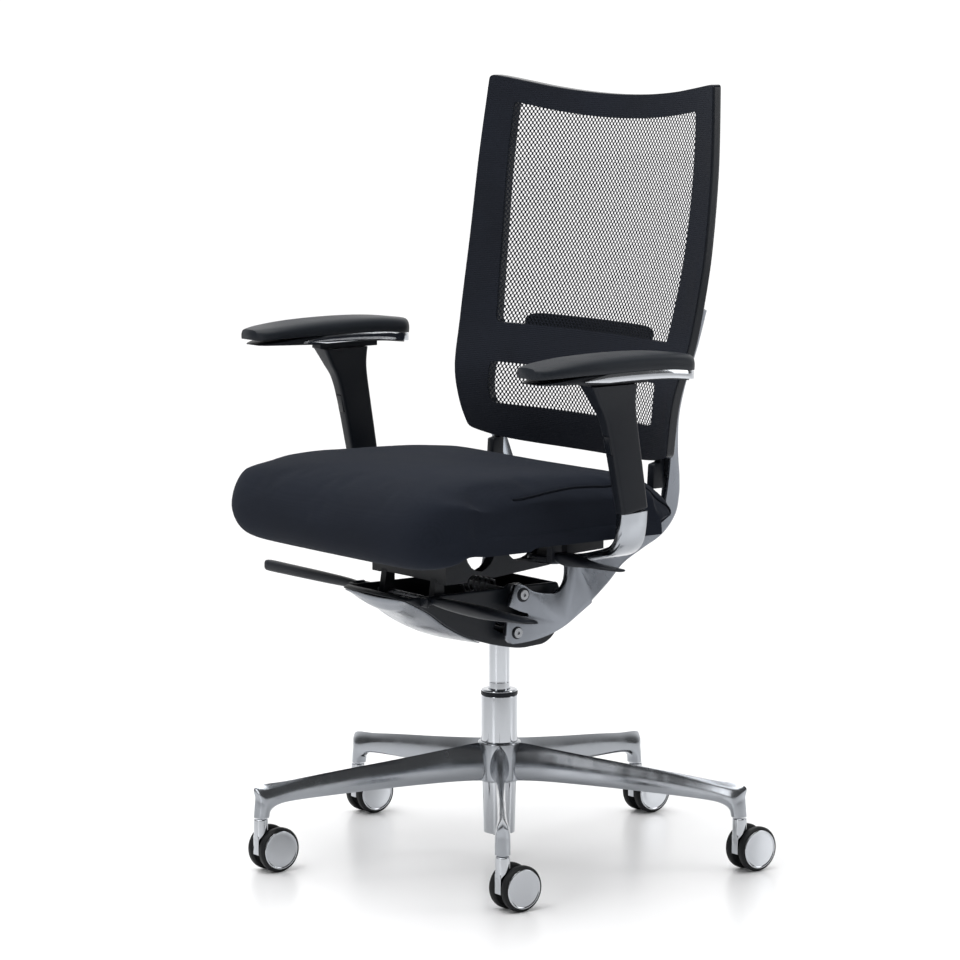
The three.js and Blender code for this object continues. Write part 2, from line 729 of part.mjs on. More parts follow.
function armBeam() {
  const stations = armStations();
  for (const z of [566, 610, 654, 698, 730, 752]) {
    const x = THREE.MathUtils.mapLinear(z, 566, 752, 196, 243);
    const front = backFront(x, z) + backDepth + fit + 0.3;
    const depth = THREE.MathUtils.mapLinear(z, 566, 752, 15, 7);
    const low = v3(x, front + depth, z);
    stations.push({ low, high: v3(x, front, z), thickness: THREE.MathUtils.mapLinear(z, 566, 752, 15, 12) });
  }
  const lowPath = new THREE.CatmullRomCurve3(stations.map((s) => s.low), false, 'centripetal');
  const highPath = new THREE.CatmullRomCurve3(stations.map((s) => s.high), false, 'centripetal');
  const widths = new THREE.SplineCurve(stations.map((s, i) => new THREE.Vector2(i, s.thickness)));
  const steps = 22;
  const rings = [];
  const normal = v3(1, 0, 0);
  for (let i = 0; i <= steps; i++) {
    const t = i / steps;
    const low = lowPath.getPoint(t);
    const high = highPath.getPoint(t);
    const along = lowPath.getTangent(t).add(highPath.getTangent(t)).normalize();
    const across = high.clone().sub(low);
    const side = along.clone().cross(across).normalize();
    if (side.dot(normal) < 0) side.negate();
    normal.copy(side);
    const half = widths.getPoint(t).y / 2;
    const at = (share, offset) => low.clone().addScaledVector(across, share).addScaledVector(side, offset * half);
    rings.push([at(0, 0.55), at(0.12, 1), at(0.88, 1), at(1, 0.6), at(1, -0.6), at(0.88, -1), at(0.12, -1), at(0, -0.55)]);
  }
  return loft(rings);
}

function backArm() {
  const plate = solid(sideways(armPlateOutline(), armInner, armInner + armWidth, 4));
  const through = (radius, at) => solid(rod(radius, v3(50, at.y, at.z), v3(120, at.y, at.z), 14));
  const behindBack = solid(backSlab(-6, backDepth + fit, 0, backColumns, backRows));
  const body = union(plate, solid(armBeam()));
  const holes = [through(shaftRadius + fit, recline), through(stopRodRadius + fit, stop)];
  return surface(cut(body, ...holes, behindBack, frameLeg(1, fit)));
}

// ---------------------------------------------------------------- back

const backSide = curveOf([
  [backBottom - 20, 118], [backBottom, 113], [590, 104], [628, 102], [664, 109], [700, 119], [764, 131.5],
  [830, 142.5], [936, 155], [backTop, 166], [backTop + 20, 168],
]);
const backHalf = curveOf([
  [backBottom - 20, 206], [backBottom, 214], [590, 231], [628, 240], [700, 252], [764, 256], [830, 257],
  [936, 254], [backTop, 243], [backTop + 20, 241],
]);

// y of the front face of the back at a place on it
function backFront(x, z) {
  const share = Math.min(1, Math.abs(x) / backHalf(z));
  return backSide(z) + backBow * (1 - share * share);
}

// curved slab over the whole outline of the back, between two depths behind its front face
function backSlab(near, far, inset, columns, rows) {
  const low = (s) => backBottom + inset + 12 * s ** 6 - 4 * (1 - s * s);
  const high = (s) => backTop - inset - backTopDip * (1 - s * s) - 3 * s ** 12;
  const at = (i, j, depth) => {
    const s = THREE.MathUtils.lerp(-1, 1, i / columns);
    const z = THREE.MathUtils.lerp(low(s), high(s), j / rows);
    const x = s * (backHalf(z) - inset);
    return v3(x, backFront(x, z) + depth, z);
  };
  return sheet(at, near, far, columns, rows);
}

// closed slab from a grid function at(i, j, depth)
function sheet(at, near, far, columns, rows) {
  const points = [];
  for (const depth of [near, far]) {
    for (let j = 0; j <= rows; j++) {
      for (let i = 0; i <= columns; i++) points.push(at(i, j, depth));
    }
  }
  const layer = (columns + 1) * (rows + 1);
  const id = (i, j, back) => back * layer + j * (columns + 1) + i;
  const index = [];
  const quad = (a, b, c, d) => index.push(a, b, c, a, c, d);
  for (let j = 0; j < rows; j++) {
    for (let i = 0; i < columns; i++) {
      quad(id(i, j, 0), id(i + 1, j, 0), id(i + 1, j + 1, 0), id(i, j + 1, 0));
      quad(id(i, j, 1), id(i, j + 1, 1), id(i + 1, j + 1, 1), id(i + 1, j, 1));
    }
  }
  for (let i = 0; i < columns; i++) {
    quad(id(i, 0, 0), id(i, 0, 1), id(i + 1, 0, 1), id(i + 1, 0, 0));
    quad(id(i, rows, 0), id(i + 1, rows, 0), id(i + 1, rows, 1), id(i, rows, 1));
  }
  for (let j = 0; j < rows; j++) {
    quad(id(0, j, 0), id(0, j + 1, 0), id(0, j + 1, 1), id(0, j, 1));
    quad(id(columns, j, 0), id(columns, j, 1), id(columns, j + 1, 1), id(columns, j + 1, 0));
  }
  const geometry = new THREE.BufferGeometry().setFromPoints(points);
  geometry.setIndex(index);
  return closed(geometry);
}

function upperOpening() {
  const w = upperWindow;
  const shape = new THREE.Shape();
  shape.moveTo(-w.half, w.low);
  shape.lineTo(w.half, w.low);
  shape.quadraticCurveTo(w.halfTop + 14, (w.low + w.high) / 2 + 20, w.halfTop, w.high);
  shape.quadraticCurveTo(0, w.high - 2 * w.dip, -w.halfTop, w.high);
  shape.quadraticCurveTo(-w.halfTop - 14, (w.low + w.high) / 2 + 20, -w.half, w.low);
  return shape;
}

function lowerOpening() {
  const w = lowerWindow;
  const shape = new THREE.Shape();
  shape.moveTo(-w.half, w.high);
  shape.absarc(w.corner - w.half, w.low + w.corner, w.corner, Math.PI, 1.5 * Math.PI, false);
  shape.absarc(w.half - w.corner, w.low + w.corner, w.corner, 1.5 * Math.PI, 2 * Math.PI, false);
  shape.lineTo(w.half, w.high);
  return shape;
}

// short leg that carries the frame down the front of an arm
function frameLeg(side, clearance) {
  const rear = 135.5 + clearance;
  const outline = polygon([[128, backBottom + 14], [128, backBottom + 1], [117, backBottom - 2], [115, legBottom],
    [rear - 1, legBottom - clearance], [rear + 1, backBottom + 14]]);
  const half = legHalf + clearance;
  return solid(sideways(outline, side * legX - half, side * legX + half));
}

function backFrame() {
  const slab = union(solid(backSlab(0, backDepth, 0, backColumns, backRows)), frameLeg(-1, 0), frameLeg(1, 0));
  const windows = [upperOpening(), lowerOpening()].map((shape) => solid(frontways(shape, 60, 300, 5)));
  const recess = solid(bandRecess());
  return surface(cut(slab, ...windows, recess));
}

// room in the cross band for the lumbar pad, open to the front
function bandRecess() {
  const at = (i, j, depth) => {
    const x = THREE.MathUtils.lerp(-1, 1, i / 10) * (lumbarHalf + 3);
    const z = THREE.MathUtils.lerp(lowerWindow.high - 8, upperWindow.low + 8, j / 4);
    return v3(x, backFront(x, z) + depth, z);
  };
  return sheet(at, -4, 8, 10, 4);
}

function lumbarPad() {
  const at = (i, j, depth) => {
    const s = THREE.MathUtils.lerp(-1, 1, i / 10);
    const x = s * lumbarHalf;
    const z = THREE.MathUtils.lerp(lumbarLow + 8 * s ** 8, lumbarHigh - 8 * s ** 8, j / 4);
    return v3(x, backFront(x, z) + depth, z);
  };
  return sheet(at, 1.6, 6.2, 10, 4);
}

add('back_arm_left', backArm(), polished);
add('back_arm_right', mirrored(backArm()), polished);
add('back_frame', backFrame(), blackPlastic);
add('back_mesh', backSlab(-fit - meshThickness, -fit, 0, backColumns, backRows), netting);
add('lumbar_pad', lumbarPad(), padding);

// ---------------------------------------------------------------- seat

const panUnder = (x) => panHeight + Math.max(0, Math.abs(x) - carrierHalfWidth) * panRise;

// two side rails with a hollow in the upper edge, joined by a cross block with ears on the front pin
function seatCarrier() {
  const top = panHeight - running;
  const rail = new THREE.Shape();
  rail.moveTo(-150, top);
  rail.lineTo(-150, 394);
  rail.lineTo(-116, 394);
  rail.quadraticCurveTo(-112, 406, -100, 403);
  rail.lineTo(-72, 397);
  rail.lineTo(20, 406);
  rail.quadraticCurveTo(40, 417, 70, 418);
  rail.lineTo(112, 420);
  rail.lineTo(112, top);
  rail.lineTo(2, top);
  rail.quadraticCurveTo(-4, 416, -24, 416);
  rail.quadraticCurveTo(-44, 416, -50, top);
  rail.lineTo(-70, top);
  rail.quadraticCurveTo(-74, 412, -92, 407);
  rail.quadraticCurveTo(-112, 408, -118, top);
  rail.closePath();
  const h = carrierHalfWidth;
  const bodies = [];
  for (const [x0, x1] of [[-h, carrierRail - h], [h - carrierRail, h]]) bodies.push(solid(sideways(rail, x0, x1, 4)));
  bodies.push(solid(block(v3(-h + 1, -150, 396), v3(h - 1, -120, top))));
  bodies.push(solid(block(v3(-h + 1, 84, 421), v3(h - 1, 110, top))));
  for (const side of [-1, 1]) {
    const [x0, x1] = side > 0 ? [earOuter - earThickness, earOuter] : [-earOuter, earThickness - earOuter];
    const ear = new THREE.Shape();
    ear.absarc(frontPin.y, frontPin.z, 9, Math.PI, 2 * Math.PI, false);
    ear.lineTo(frontPin.y + 9, 400);
    ear.lineTo(frontPin.y - 4, 400);
    bodies.push(solid(sideways(ear, x0, x1, 6)));
  }
  const bore = solid(rod(shaftRadius + fit, v3(-90, frontPin.y, frontPin.z), v3(90, frontPin.y, frontPin.z), 18));
  return surface(cut(union(...bodies), bore));
}

const depthLever = { x: 192, y: -48, z: 436, tip: 302 };

function seatPan() {
  const columns = 12;
  const at = (i, j, depth) => {
    const s = THREE.MathUtils.lerp(-1, 1, i / columns);
    const flat = Math.abs(s) < 0.001 ? 0 : s;
    const x = flat * panHalfWidth * (1 - 0.1 * Math.abs(j / 6 - 0.5) ** 3 * 8);
    const y = THREE.MathUtils.lerp(panFront + 30 * s ** 6, panRear - 26 * s ** 6, j / 6);
    return v3(x, y, panUnder(x) + depth);
  };
  const plate = solid(sheet(at, 0, panThickness, columns, 6));
  const { x, y, z } = depthLever;
  const lugs = [[-14.5, -10.4], [10.4, 14.5]].map(([y0, y1]) => solid(
    block(v3(x - 6, y + y0, z - 6), v3(x + 6, y + y1, panUnder(x - 6) + 2))));
  const hole = solid(rod(2.5 + fit, v3(x, y - 20, z), v3(x, y + 20, z), 14));
  return surface(cut(union(plate, ...lugs), hole));
}

function seatDepthLever() {
  const { x, y, z, tip } = depthLever;
  const half = 10.4 - running;
  const boss = solid(rod(5.4, v3(x, y - half, z), v3(x, y + half, z), 16));
  const pin = solid(rod(2.5, v3(x, y - 14.2, z), v3(x, y + 14.2, z), 12));
  const shape = [ // x, y shift, height, up, down, half width
    [x, 0, 0, 4, 5, 8], [x + 16, 1, 0, 7, 10, 10], [x + 34, 4, -2, 7, 8, 11], [x + 58, 9, -4.5, 3.6, 4, 11],
    [x + 88, 16, -6.4, 2.2, 2.4, 9.5], [tip - 4, 20, -7, 1.8, 1.8, 6], [tip, 21, -7, 1, 1, 3],
  ];
  const rings = shape.map(([px, dy, dz, up, down, halfY]) => {
    const points = [];
    for (let k = 0; k < 10; k++) {
      const turn = (k / 10) * 2 * Math.PI;
      const height = Math.sin(turn) > 0 ? up : down;
      points.push(v3(px, y + dy + halfY * Math.cos(turn), z + dz + height * Math.sin(turn)));
    }
    return points;
  });
  return surface(union(boss, pin, solid(loft(rings))));
}

// cushion: a side profile that narrows and rounds off towards its two sides
function seatCushion() {
  const share = [-1, -0.97, -0.9, -0.78, -0.6, -0.35, 0, 0.35, 0.6, 0.78, 0.9, 0.97, 1];
  const rings = share.map((s) => {
    const side = Math.abs(s);
    const x = s * cushionHalfWidth;
    const bottom = panUnder(Math.min(Math.abs(x), panHalfWidth)) + panThickness + cushionGap;
    const pull = 50 * side ** 14 + 6 * side ** 2;
    const squeeze = 26 * side ** 10;
    const front = cushionFront + pull;
    const rear = cushionRear - pull * 0.95;
    const top = cushionTop - squeeze - 3 * (1 - side * side);
    const noseDrop = 428 + squeeze;
    return [
      [front, 474], [front + 5, 500], [front + 22, 524], [front + 58, top - 6], [front + 110, top + 1],
      [-60, top], [20, top - 4], [80, top - 12], [rear - 24, top - 26], [rear - 4, top - 44],
      [rear, top - 62], [rear - 6, bottom + 12 + squeeze * 0.5], [rear - 20, bottom + squeeze * 0.5],
      [40, bottom + squeeze * 0.5], [-60, bottom + squeeze * 0.5], [-150, bottom + squeeze * 0.5],
      [-196, bottom + squeeze * 0.5], [panFront - 5, 452 + squeeze], [panFront - 12, noseDrop + 12],
      [Math.min(panFront - 26, front + 40), noseDrop], [front + 20, noseDrop + 6], [front + 6, noseDrop + 22],
    ].map(([y, z]) => v3(x, y, z));
  });
  return loft(rings);
}

add('seat_carrier', seatCarrier(), blackMetal);
add('seat_pan', seatPan(), blackPlastic);
add('seat_cushion', seatCushion(), fabric);
add('depth_lever', seatDepthLever(), blackPlastic);

// ---------------------------------------------------------------- armrests

// frame of the raked post: its foot on the bracket, its local +Z up the post
function postGroup() {
  const group = new THREE.Group();
  group.position.set(postX, postFootY, postFootZ);
  group.rotation.x = radians(postRake);
  return group;
}

function armBracket() {
  const path = [
    [carrierHalfWidth + fit, 4, 419, 5.5], [130, 4, 421, 5.5], [185, 3, 430, 5.5], [235, 0, 441, 5.5], [270, -4, 451, 6],
    [289, -8, 466, 6.5], [297, -11, 484, 7.5], [300, postFootY, postFootZ - fit, 8],
  ];
  const centre = new THREE.CatmullRomCurve3(path.map(([x, y, z]) => v3(x, y, z)), false, 'centripetal');
  const widths = new THREE.SplineCurve(path.map((p, i) => new THREE.Vector2(i, p[3])));
  const rings = [];
  const steps = 14;
  for (let i = 0; i <= steps; i++) {
    const t = i / steps;
    const at = centre.getPoint(t);
    const along = centre.getTangent(t);
    if (i === 0) along.set(1, 0, 0);
    if (i === steps) along.set(0, -Math.sin(radians(postRake)), Math.cos(radians(postRake)));
    const wide = v3(0, 1, 0).addScaledVector(along, -along.y).normalize();
    const out = wide.clone().cross(along).normalize();
    const half = widths.getPoint(t).y;
    const place = (a, b) => at.clone().addScaledVector(wide, a * 21).addScaledVector(out, b * half);
    rings.push([place(1, 0.6), place(0.9, 1), place(-0.9, 1), place(-1, 0.6), place(-1, -0.6), place(-0.9, -1),
      place(0.9, -1), place(1, -0.6)]);
  }
  return loft(rings);
}

// rounded bar standing on the bracket, inside the sleeve
function innerPost() {
  const outline = roundedRectangle(innerThickness / 2, innerDepth / 2, 3);
  return new THREE.ExtrudeGeometry(outline, { depth: innerLength, bevelEnabled: false, curveSegments: 3 })
    .translate(0, 0, 0.2);
}

function armSleeve() {
  const stations = [
    [running, postDepth / 2, postDepth / 2, postThickness / 2], [40, 22, 22, 9.8], [95, 23.5, 23, 10.2],
    [130, 27, 24, 10.8], [152, 35, 27, 12.5], [postLength + 14, 46, 34, 17],
  ];
  const rings = stations.map(([z, front, rear, half]) => {
    const corner = 5;
    const points = [];
    for (const [sx, sy, start] of [[1, 1, 0], [-1, 1, 1], [-1, -1, 2], [1, -1, 3]]) {
      const cy = sy > 0 ? rear - corner : -(front - corner);
      for (let k = 0; k <= 2; k++) {
        const turn = (start + k / 2) * (Math.PI / 2);
        points.push(v3(sx * (half - corner) + corner * Math.cos(turn), cy + corner * Math.sin(turn), z));
      }
    }
    return points;
  });
  const cavity = block(
    v3(-innerThickness / 2 - running, -innerDepth / 2 - running, -5),
    v3(innerThickness / 2 + running, innerDepth / 2 + running, innerLength + 6));
  const pocket = block(v3(-6.4, -40, 80), v3(6.4, -innerDepth / 2 - 3, 106));
  const above = block(v3(postX - 90, -200, guideZ - running), v3(postX + 90, 200, guideZ + 60))
    .translate(-postX, -postFootY, -postFootZ).rotateX(-radians(postRake));
  return surface(cut(solid(loft(rings)), solid(cavity), solid(pocket), solid(above)));
}

function armButton() {
  const outline = roundedRectangle(6, 12.4, 2);
  return new THREE.ExtrudeGeometry(outline, { depth: 4, bevelEnabled: false, curveSegments: 3 })
    .rotateX(Math.PI / 2).translate(0, -20.2, 93);
}

// half width of the pad at a share of its length, front to rear
const padWidthAt = curveOf([[0, 0.5], [0.04, 0.72], [0.14, 0.9], [0.4, 1], [0.75, 1], [0.92, 0.94], [0.98, 0.78], [1, 0.62]]);
const padArchAt = curveOf([[0, -6], [0.12, -2], [0.3, 2], [0.55, 4], [0.8, 3], [1, -2]]);

function padRings(low, high, shrink, steps) {
  const rings = [];
  for (let i = 0; i <= steps; i++) {
    const t = i / steps;
    const y = THREE.MathUtils.lerp(padFront + shrink, padRear - shrink, t);
    const half = padWidthAt(t) * padHalfWidth - shrink;
    const lift = padArchAt(t);
    const section = [[-1, 0.35], [-0.82, 0.85], [-0.4, 1], [0.4, 1], [0.82, 0.85], [1, 0.35], [0.96, 0], [-0.96, 0]];
    rings.push(section.map(([a, b]) => v3(padX + a * half, y, padZ + lift + THREE.MathUtils.lerp(low, high, b))));
  }
  return rings;
}

function padBase() {
  const slider = block(v3(padX - 25, guide.front, guideZ), v3(padX - 25 + 2 * guide.half, guide.rear, padZ - 6));
  return surface(union(solid(loft(padRings(-trimHeight - 1.4, -0.6, 5, 9))), solid(slider)));
}

function padTrim() {
  const outer = solid(loft(padRings(-trimHeight, -0.6, 1.6, 10)));
  const inner = solid(loft(padRings(-30, 30, 4.2, 10)));
  const front = solid(block(v3(padX - 80, padFront - 20, 600), v3(padX + 80, padFront + 62, 760)));
  const roof = solid(loft(padRings(-0.7, 40, -6, 10)));
  return surface(cut(outer, inner, front, roof));
}

function armrest() {
  const group = postGroup();
  const sides = [
    ['arm_bracket', armBracket(), polished, null],
    ['arm_post', innerPost(), blackMetal, group],
    ['arm_sleeve', armSleeve(), blackPlastic, group],
    ['arm_button', armButton(), blackPlastic, group],
    ['arm_pad_base', padBase(), blackPlastic, null],
    ['arm_pad_trim', padTrim(), chrome, null],
    ['arm_pad', loft(padRings(0, 20, 0, 11)), padding, null],
  ];
  group.updateMatrix();
  for (const [name, geometry, material, frame] of sides) {
    const placed = closed(frame ? geometry.clone().applyMatrix4(frame.matrix) : geometry);
    add(`${name}_left`, placed, material);
    add(`${name}_right`, mirrored(placed), material);
  }
}

armrest();

// the origin is the middle of the whole chair's box, on the floor
const box = new THREE.Box3().setFromObject(chair);
chair.position.set(-(box.min.x + box.max.x) / 2, -(box.min.y + box.max.y) / 2, -box.min.z);
chair.updateMatrixWorld(true);

export default chair;
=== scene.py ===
"""Swivel office chair: the pieces that show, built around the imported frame.

Outlines are drawn in millimetres about the column axis, as the chair's own drawing is: +X is the left-hand
side of a person sitting in it and -Y is the front. build() turns them into metres in the row frame.
"""
import json
import math

import bmesh
import bpy
from mathutils import Matrix, Vector
from mathutils.bvhtree import BVHTree


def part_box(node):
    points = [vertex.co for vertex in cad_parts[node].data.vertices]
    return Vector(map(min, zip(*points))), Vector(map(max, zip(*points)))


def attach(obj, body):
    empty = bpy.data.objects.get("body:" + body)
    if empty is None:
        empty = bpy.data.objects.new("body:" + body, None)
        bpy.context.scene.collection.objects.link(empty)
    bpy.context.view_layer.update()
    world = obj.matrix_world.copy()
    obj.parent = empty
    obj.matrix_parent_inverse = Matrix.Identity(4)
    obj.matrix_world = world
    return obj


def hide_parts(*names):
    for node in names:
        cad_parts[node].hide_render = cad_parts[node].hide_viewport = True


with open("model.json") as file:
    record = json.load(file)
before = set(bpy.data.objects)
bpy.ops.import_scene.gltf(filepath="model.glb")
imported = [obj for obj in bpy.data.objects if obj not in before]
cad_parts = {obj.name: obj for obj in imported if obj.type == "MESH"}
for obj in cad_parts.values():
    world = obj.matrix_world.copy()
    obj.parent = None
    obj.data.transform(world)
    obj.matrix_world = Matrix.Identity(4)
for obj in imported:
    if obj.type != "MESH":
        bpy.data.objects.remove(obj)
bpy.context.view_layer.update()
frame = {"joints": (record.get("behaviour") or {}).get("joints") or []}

MM = 0.001
scene = bpy.context.scene


def cad(node):
    """Lowest and highest corner of a CAD node, in millimetres about the column axis."""
    low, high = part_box(node)
    return (low - AXIS) / MM, (high - AXIS) / MM


def column_axis():
    low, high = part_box("column_sleeve")
    return Vector(((low.x + high.x) / 2, (low.y + high.y) / 2, 0))


AXIS = column_axis()
JOINTS = {j["name"]: j for j in frame["joints"]}


def joint_at(name):
    """Where a joint's axis passes, in millimetres about the column axis."""
    return (Vector(JOINTS[name]["pos_m"]) - AXIS) / MM


# ---------------------------------------------------------------- curves and meshes


def catmull(points, count, even=False):
    """count + 1 points along a smooth curve through the given ones."""
    given = [Vector(p) for p in points]
    padded = [2 * given[0] - given[1], *given, 2 * given[-1] - given[-2]]
    last = len(given) - 1
    out = []
    for k in range(count + 1):
        t = k / count * last
        i = min(int(t), last - 1)
        w = t - i
        p0, p1, p2, p3 = padded[i:i + 4]
        if even:
            gap = [max(1e-6, (b - a).length ** 0.5) for a, b in ((p0, p1), (p1, p2), (p2, p3))]
        else:
            gap = [1, 1, 1]
        v1 = ((p1 - p0) / gap[0] - (p2 - p0) / (gap[0] + gap[1]) + (p2 - p1) / gap[1]) * gap[1]
        v2 = ((p2 - p1) / gap[1] - (p3 - p1) / (gap[1] + gap[2]) + (p3 - p2) / gap[2]) * gap[1]
        cubic = 2 * (p1 - p2) + v1 + v2
        square = 3 * (p2 - p1) - 2 * v1 - v2
        out.append(p1 + v1 * w + square * w ** 2 + cubic * w ** 3)
    return out


def along(pairs):
    """A smooth function through (place, value) pairs."""
    points = catmull([(a, b, 0) for a, b in pairs], 14 * len(pairs))

    def value(at):
        if at <= points[0].x:
            return points[0].y
        for a, b in zip(points, points[1:]):
            if at <= b.x:
                return a.y + (b.y - a.y) * (at - a.x) / (b.x - a.x)
        return points[-1].y

    return value


def mix(a, b, t):
    return a + (b - a) * t


def arc(cx, cy, radius, start, end, steps=10):
    """Points on an arc, with its two angles in degrees."""
    angles = [math.radians(mix(start, end, k / steps)) for k in range(steps + 1)]
    return [(cx + radius * math.cos(a), cy + radius * math.sin(a)) for a in angles]


def bend(start, control, end, steps=10):
    """Points on a quadratic curve, without its first."""
    out = []
    for k in range(1, steps + 1):
        t = k / steps
        near, middle, far = (1 - t) ** 2, 2 * t * (1 - t), t * t
        out.append(tuple(near * a + middle * c + far * b for a, c, b in zip(start, control, end)))
    return out


def rounded(profile, radius, steps=4):
    """The same open outline with its inner corners turned into short curves."""
    points = [Vector(p) for p in profile]
    out = [points[0]]
    for a, b, c in zip(points, points[1:], points[2:]):
        reach = min(radius, (a - b).length * 0.45, (c - b).length * 0.45)
        start, end = b + (a - b).normalized() * reach, b + (c - b).normalized() * reach
        for k in range(steps + 1):
            t = k / steps
            out.append((1 - t) ** 2 * start + 2 * t * (1 - t) * b + t * t * end)
    return [tuple(p) for p in out + [points[-1]]]


def raw(points, faces):
    """A mesh object from points in millimetres about the column axis."""
    mesh = bpy.data.meshes.new("raw")
    mesh.from_pydata([Vector(p) * MM + AXIS for p in points], [], faces)
    edit = bmesh.new()
    edit.from_mesh(mesh)
    bmesh.ops.remove_doubles(edit, verts=edit.verts, dist=2e-6)
    bmesh.ops.recalc_face_normals(edit, faces=edit.faces)
    edit.to_mesh(mesh)
    edit.free()
    piece = bpy.data.objects.new("raw", mesh)
    scene.collection.objects.link(piece)
    return piece


def skin(rings, ends=True, loop=False):
    """Points and faces of a skin over rings of points."""
    count = len(rings[0])
    points = [p for ring in rings for p in ring]
    faces = []
    last = len(rings) if loop else len(rings) - 1
    for r in range(last):
        for i in range(count):
            a, b = r * count + i, r * count + (i + 1) % count
            up = ((r + 1) % len(rings) - r) * count
            faces.append((a, b, b + up, a + up))
    if ends and not loop:
        faces.append(tuple(reversed(range(count))))
        faces.append(tuple(range(len(points) - count, len(points))))
    return points, faces


def loft(rings, **how):
    return raw(*skin(rings, **how))


def lathe(profile, segments=64, turn=None, centre=(0, 0, 0)):
    """A profile of (radius, height) turned about Z, or about the axis that turn brings Z to."""
    turn = turn or Matrix.Identity(3)
    centre = Vector(centre)
    rings = []
    for k in range(segments):
        angle = 2 * math.pi * k / segments
        around = Matrix.Rotation(angle, 3, "Z")
        rings.append([turn @ (around @ Vector((r, 0, z))) + centre for r, z in profile])
    points = [p for ring in rings for p in ring]
    count = len(profile)
    faces = []
    for k in range(segments):
        a, b = k * count, ((k + 1) % segments) * count
        faces += [(a + i, a + i + 1, b + i + 1, b + i) for i in range(count - 1)]
    return raw(points, faces)


def rod(radius, start, end, segments=40):
    start, end = Vector(start), Vector(end)
    length = (end - start).length
    turn = (end - start).to_track_quat("Z", "Y").to_matrix()
    return lathe([(0, 0), (radius, 0), (radius, length), (0, length)], segments, turn, start)


def extrude(outline, start, end, place):
    """A closed flat outline drawn out between two depths; place(a, b, depth) gives each point."""
    rings = [[Vector(place(a, b, depth)) for a, b in outline] for depth in (start, end)]
    return loft(rings)


def sideways(outline, x0, x1):
    return extrude(outline, x0, x1, lambda y, z, x: (x, y, z))


def box(low, high):
    low, high = Vector(low), Vector(high)
    return sideways([(low.y, low.z), (high.y, low.z), (high.y, high.z), (low.y, high.z)], low.x, high.x)


def modify(piece, kind, **values):
    modifier = piece.modifiers.new(kind.lower(), kind)
    for key, value in values.items():
        setattr(modifier, key, value)
    return piece


def applied(piece):
    """The piece with its modifiers worked into its mesh."""
    bpy.context.view_layer.update()
    shape = piece.evaluated_get(bpy.context.evaluated_depsgraph_get())
    mesh = bpy.data.meshes.new_from_object(shape)
    piece.modifiers.clear()
    piece.data = mesh
    return piece


def bevelled(piece, width, angle=32, segments=3):
    modify(piece, "BEVEL", width=width * MM, segments=segments, limit_method="ANGLE",
           angle_limit=math.radians(angle), harden_normals=False, use_clamp_overlap=True)
    return applied(piece)


def combine(piece, others, operation):
    """Boolean of a piece with others, which are used up."""
    for other in others:
        modify(piece, "BOOLEAN", operation=operation, object=other, solver="EXACT")
        applied(piece)
        bpy.data.objects.remove(other)
    return piece


def join(piece, *others):
    return combine(piece, others, "UNION")


def cut(piece, *others):
    return combine(piece, others, "DIFFERENCE")


def mirrored(piece):
    """A copy for the other side of the chair."""
    copy = piece.copy()
    copy.data = piece.data.copy()
    scene.collection.objects.link(copy)
    copy.data.transform(Matrix.Scale(-1, 4, (1, 0, 0)))
    copy.data.flip_normals()
    return copy


def moved(piece, matrix):
    """The piece with its mesh moved by a matrix given in millimetres about the column axis."""
    shift = Matrix.Translation(AXIS)
    scale = Matrix.Scale(MM, 4)
    piece.data.transform(shift @ scale @ matrix @ scale.inverted() @ shift.inverted())
    return piece


def smooth(piece, angle=35):
    """Shades the faces smooth, except across edges sharper than the angle."""
    mesh = piece.data
    mesh.shade_smooth()
    edit = bmesh.new()
    edit.from_mesh(mesh)
    limit = math.radians(angle)
    for edge in edit.edges:
        edge.smooth = len(edge.link_faces) == 2 and edge.calc_face_angle(0) < limit
    edit.to_mesh(mesh)
    edit.free()
    return piece


def build(name, piece, material, body, slot, *nodes, angle=35):
    """Names a piece, paints it and fixes it to a body of the frame."""
    piece.name = name
    piece.data.name = name
    piece.data.materials.clear()
    piece.data.materials.append(material)
    smooth(piece, angle)
    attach(piece, body)
    if nodes:
        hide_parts(*nodes)
    return piece


def pair(name, piece, material, bodies, slot, *nodes, **how):
    """The piece on the left and its mirror image on the right; a node or body ending in _ takes the side."""
    other = mirrored(piece)
    made = []
    for side, one in (("left", piece), ("right", other)):
        body = bodies + side if bodies.endswith("_") else bodies
        made.append(build(f"{name}_{side}", one, material, body, slot, *[n + side for n in nodes], **how))
    return made


# ---------------------------------------------------------------- materials


def material(name, colour, rough, metal=0.0, coat=0.0, sheen=0.0, gloss=0.5):
    made = bpy.data.materials.new(name)
    made.use_nodes = True
    shader = made.node_tree.nodes["Principled BSDF"]
    shader.inputs["Base Color"].default_value = (*colour, 1)
    shader.inputs["Roughness"].default_value = rough
    shader.inputs["Metallic"].default_value = metal
    shader.inputs["Specular IOR Level"].default_value = gloss
    shader.inputs["Coat Weight"].default_value = coat
    shader.inputs["Coat Roughness"].default_value = 0.12
    shader.inputs["Sheen Weight"].default_value = sheen
    shader.inputs["Sheen Roughness"].default_value = 0.4
    return made


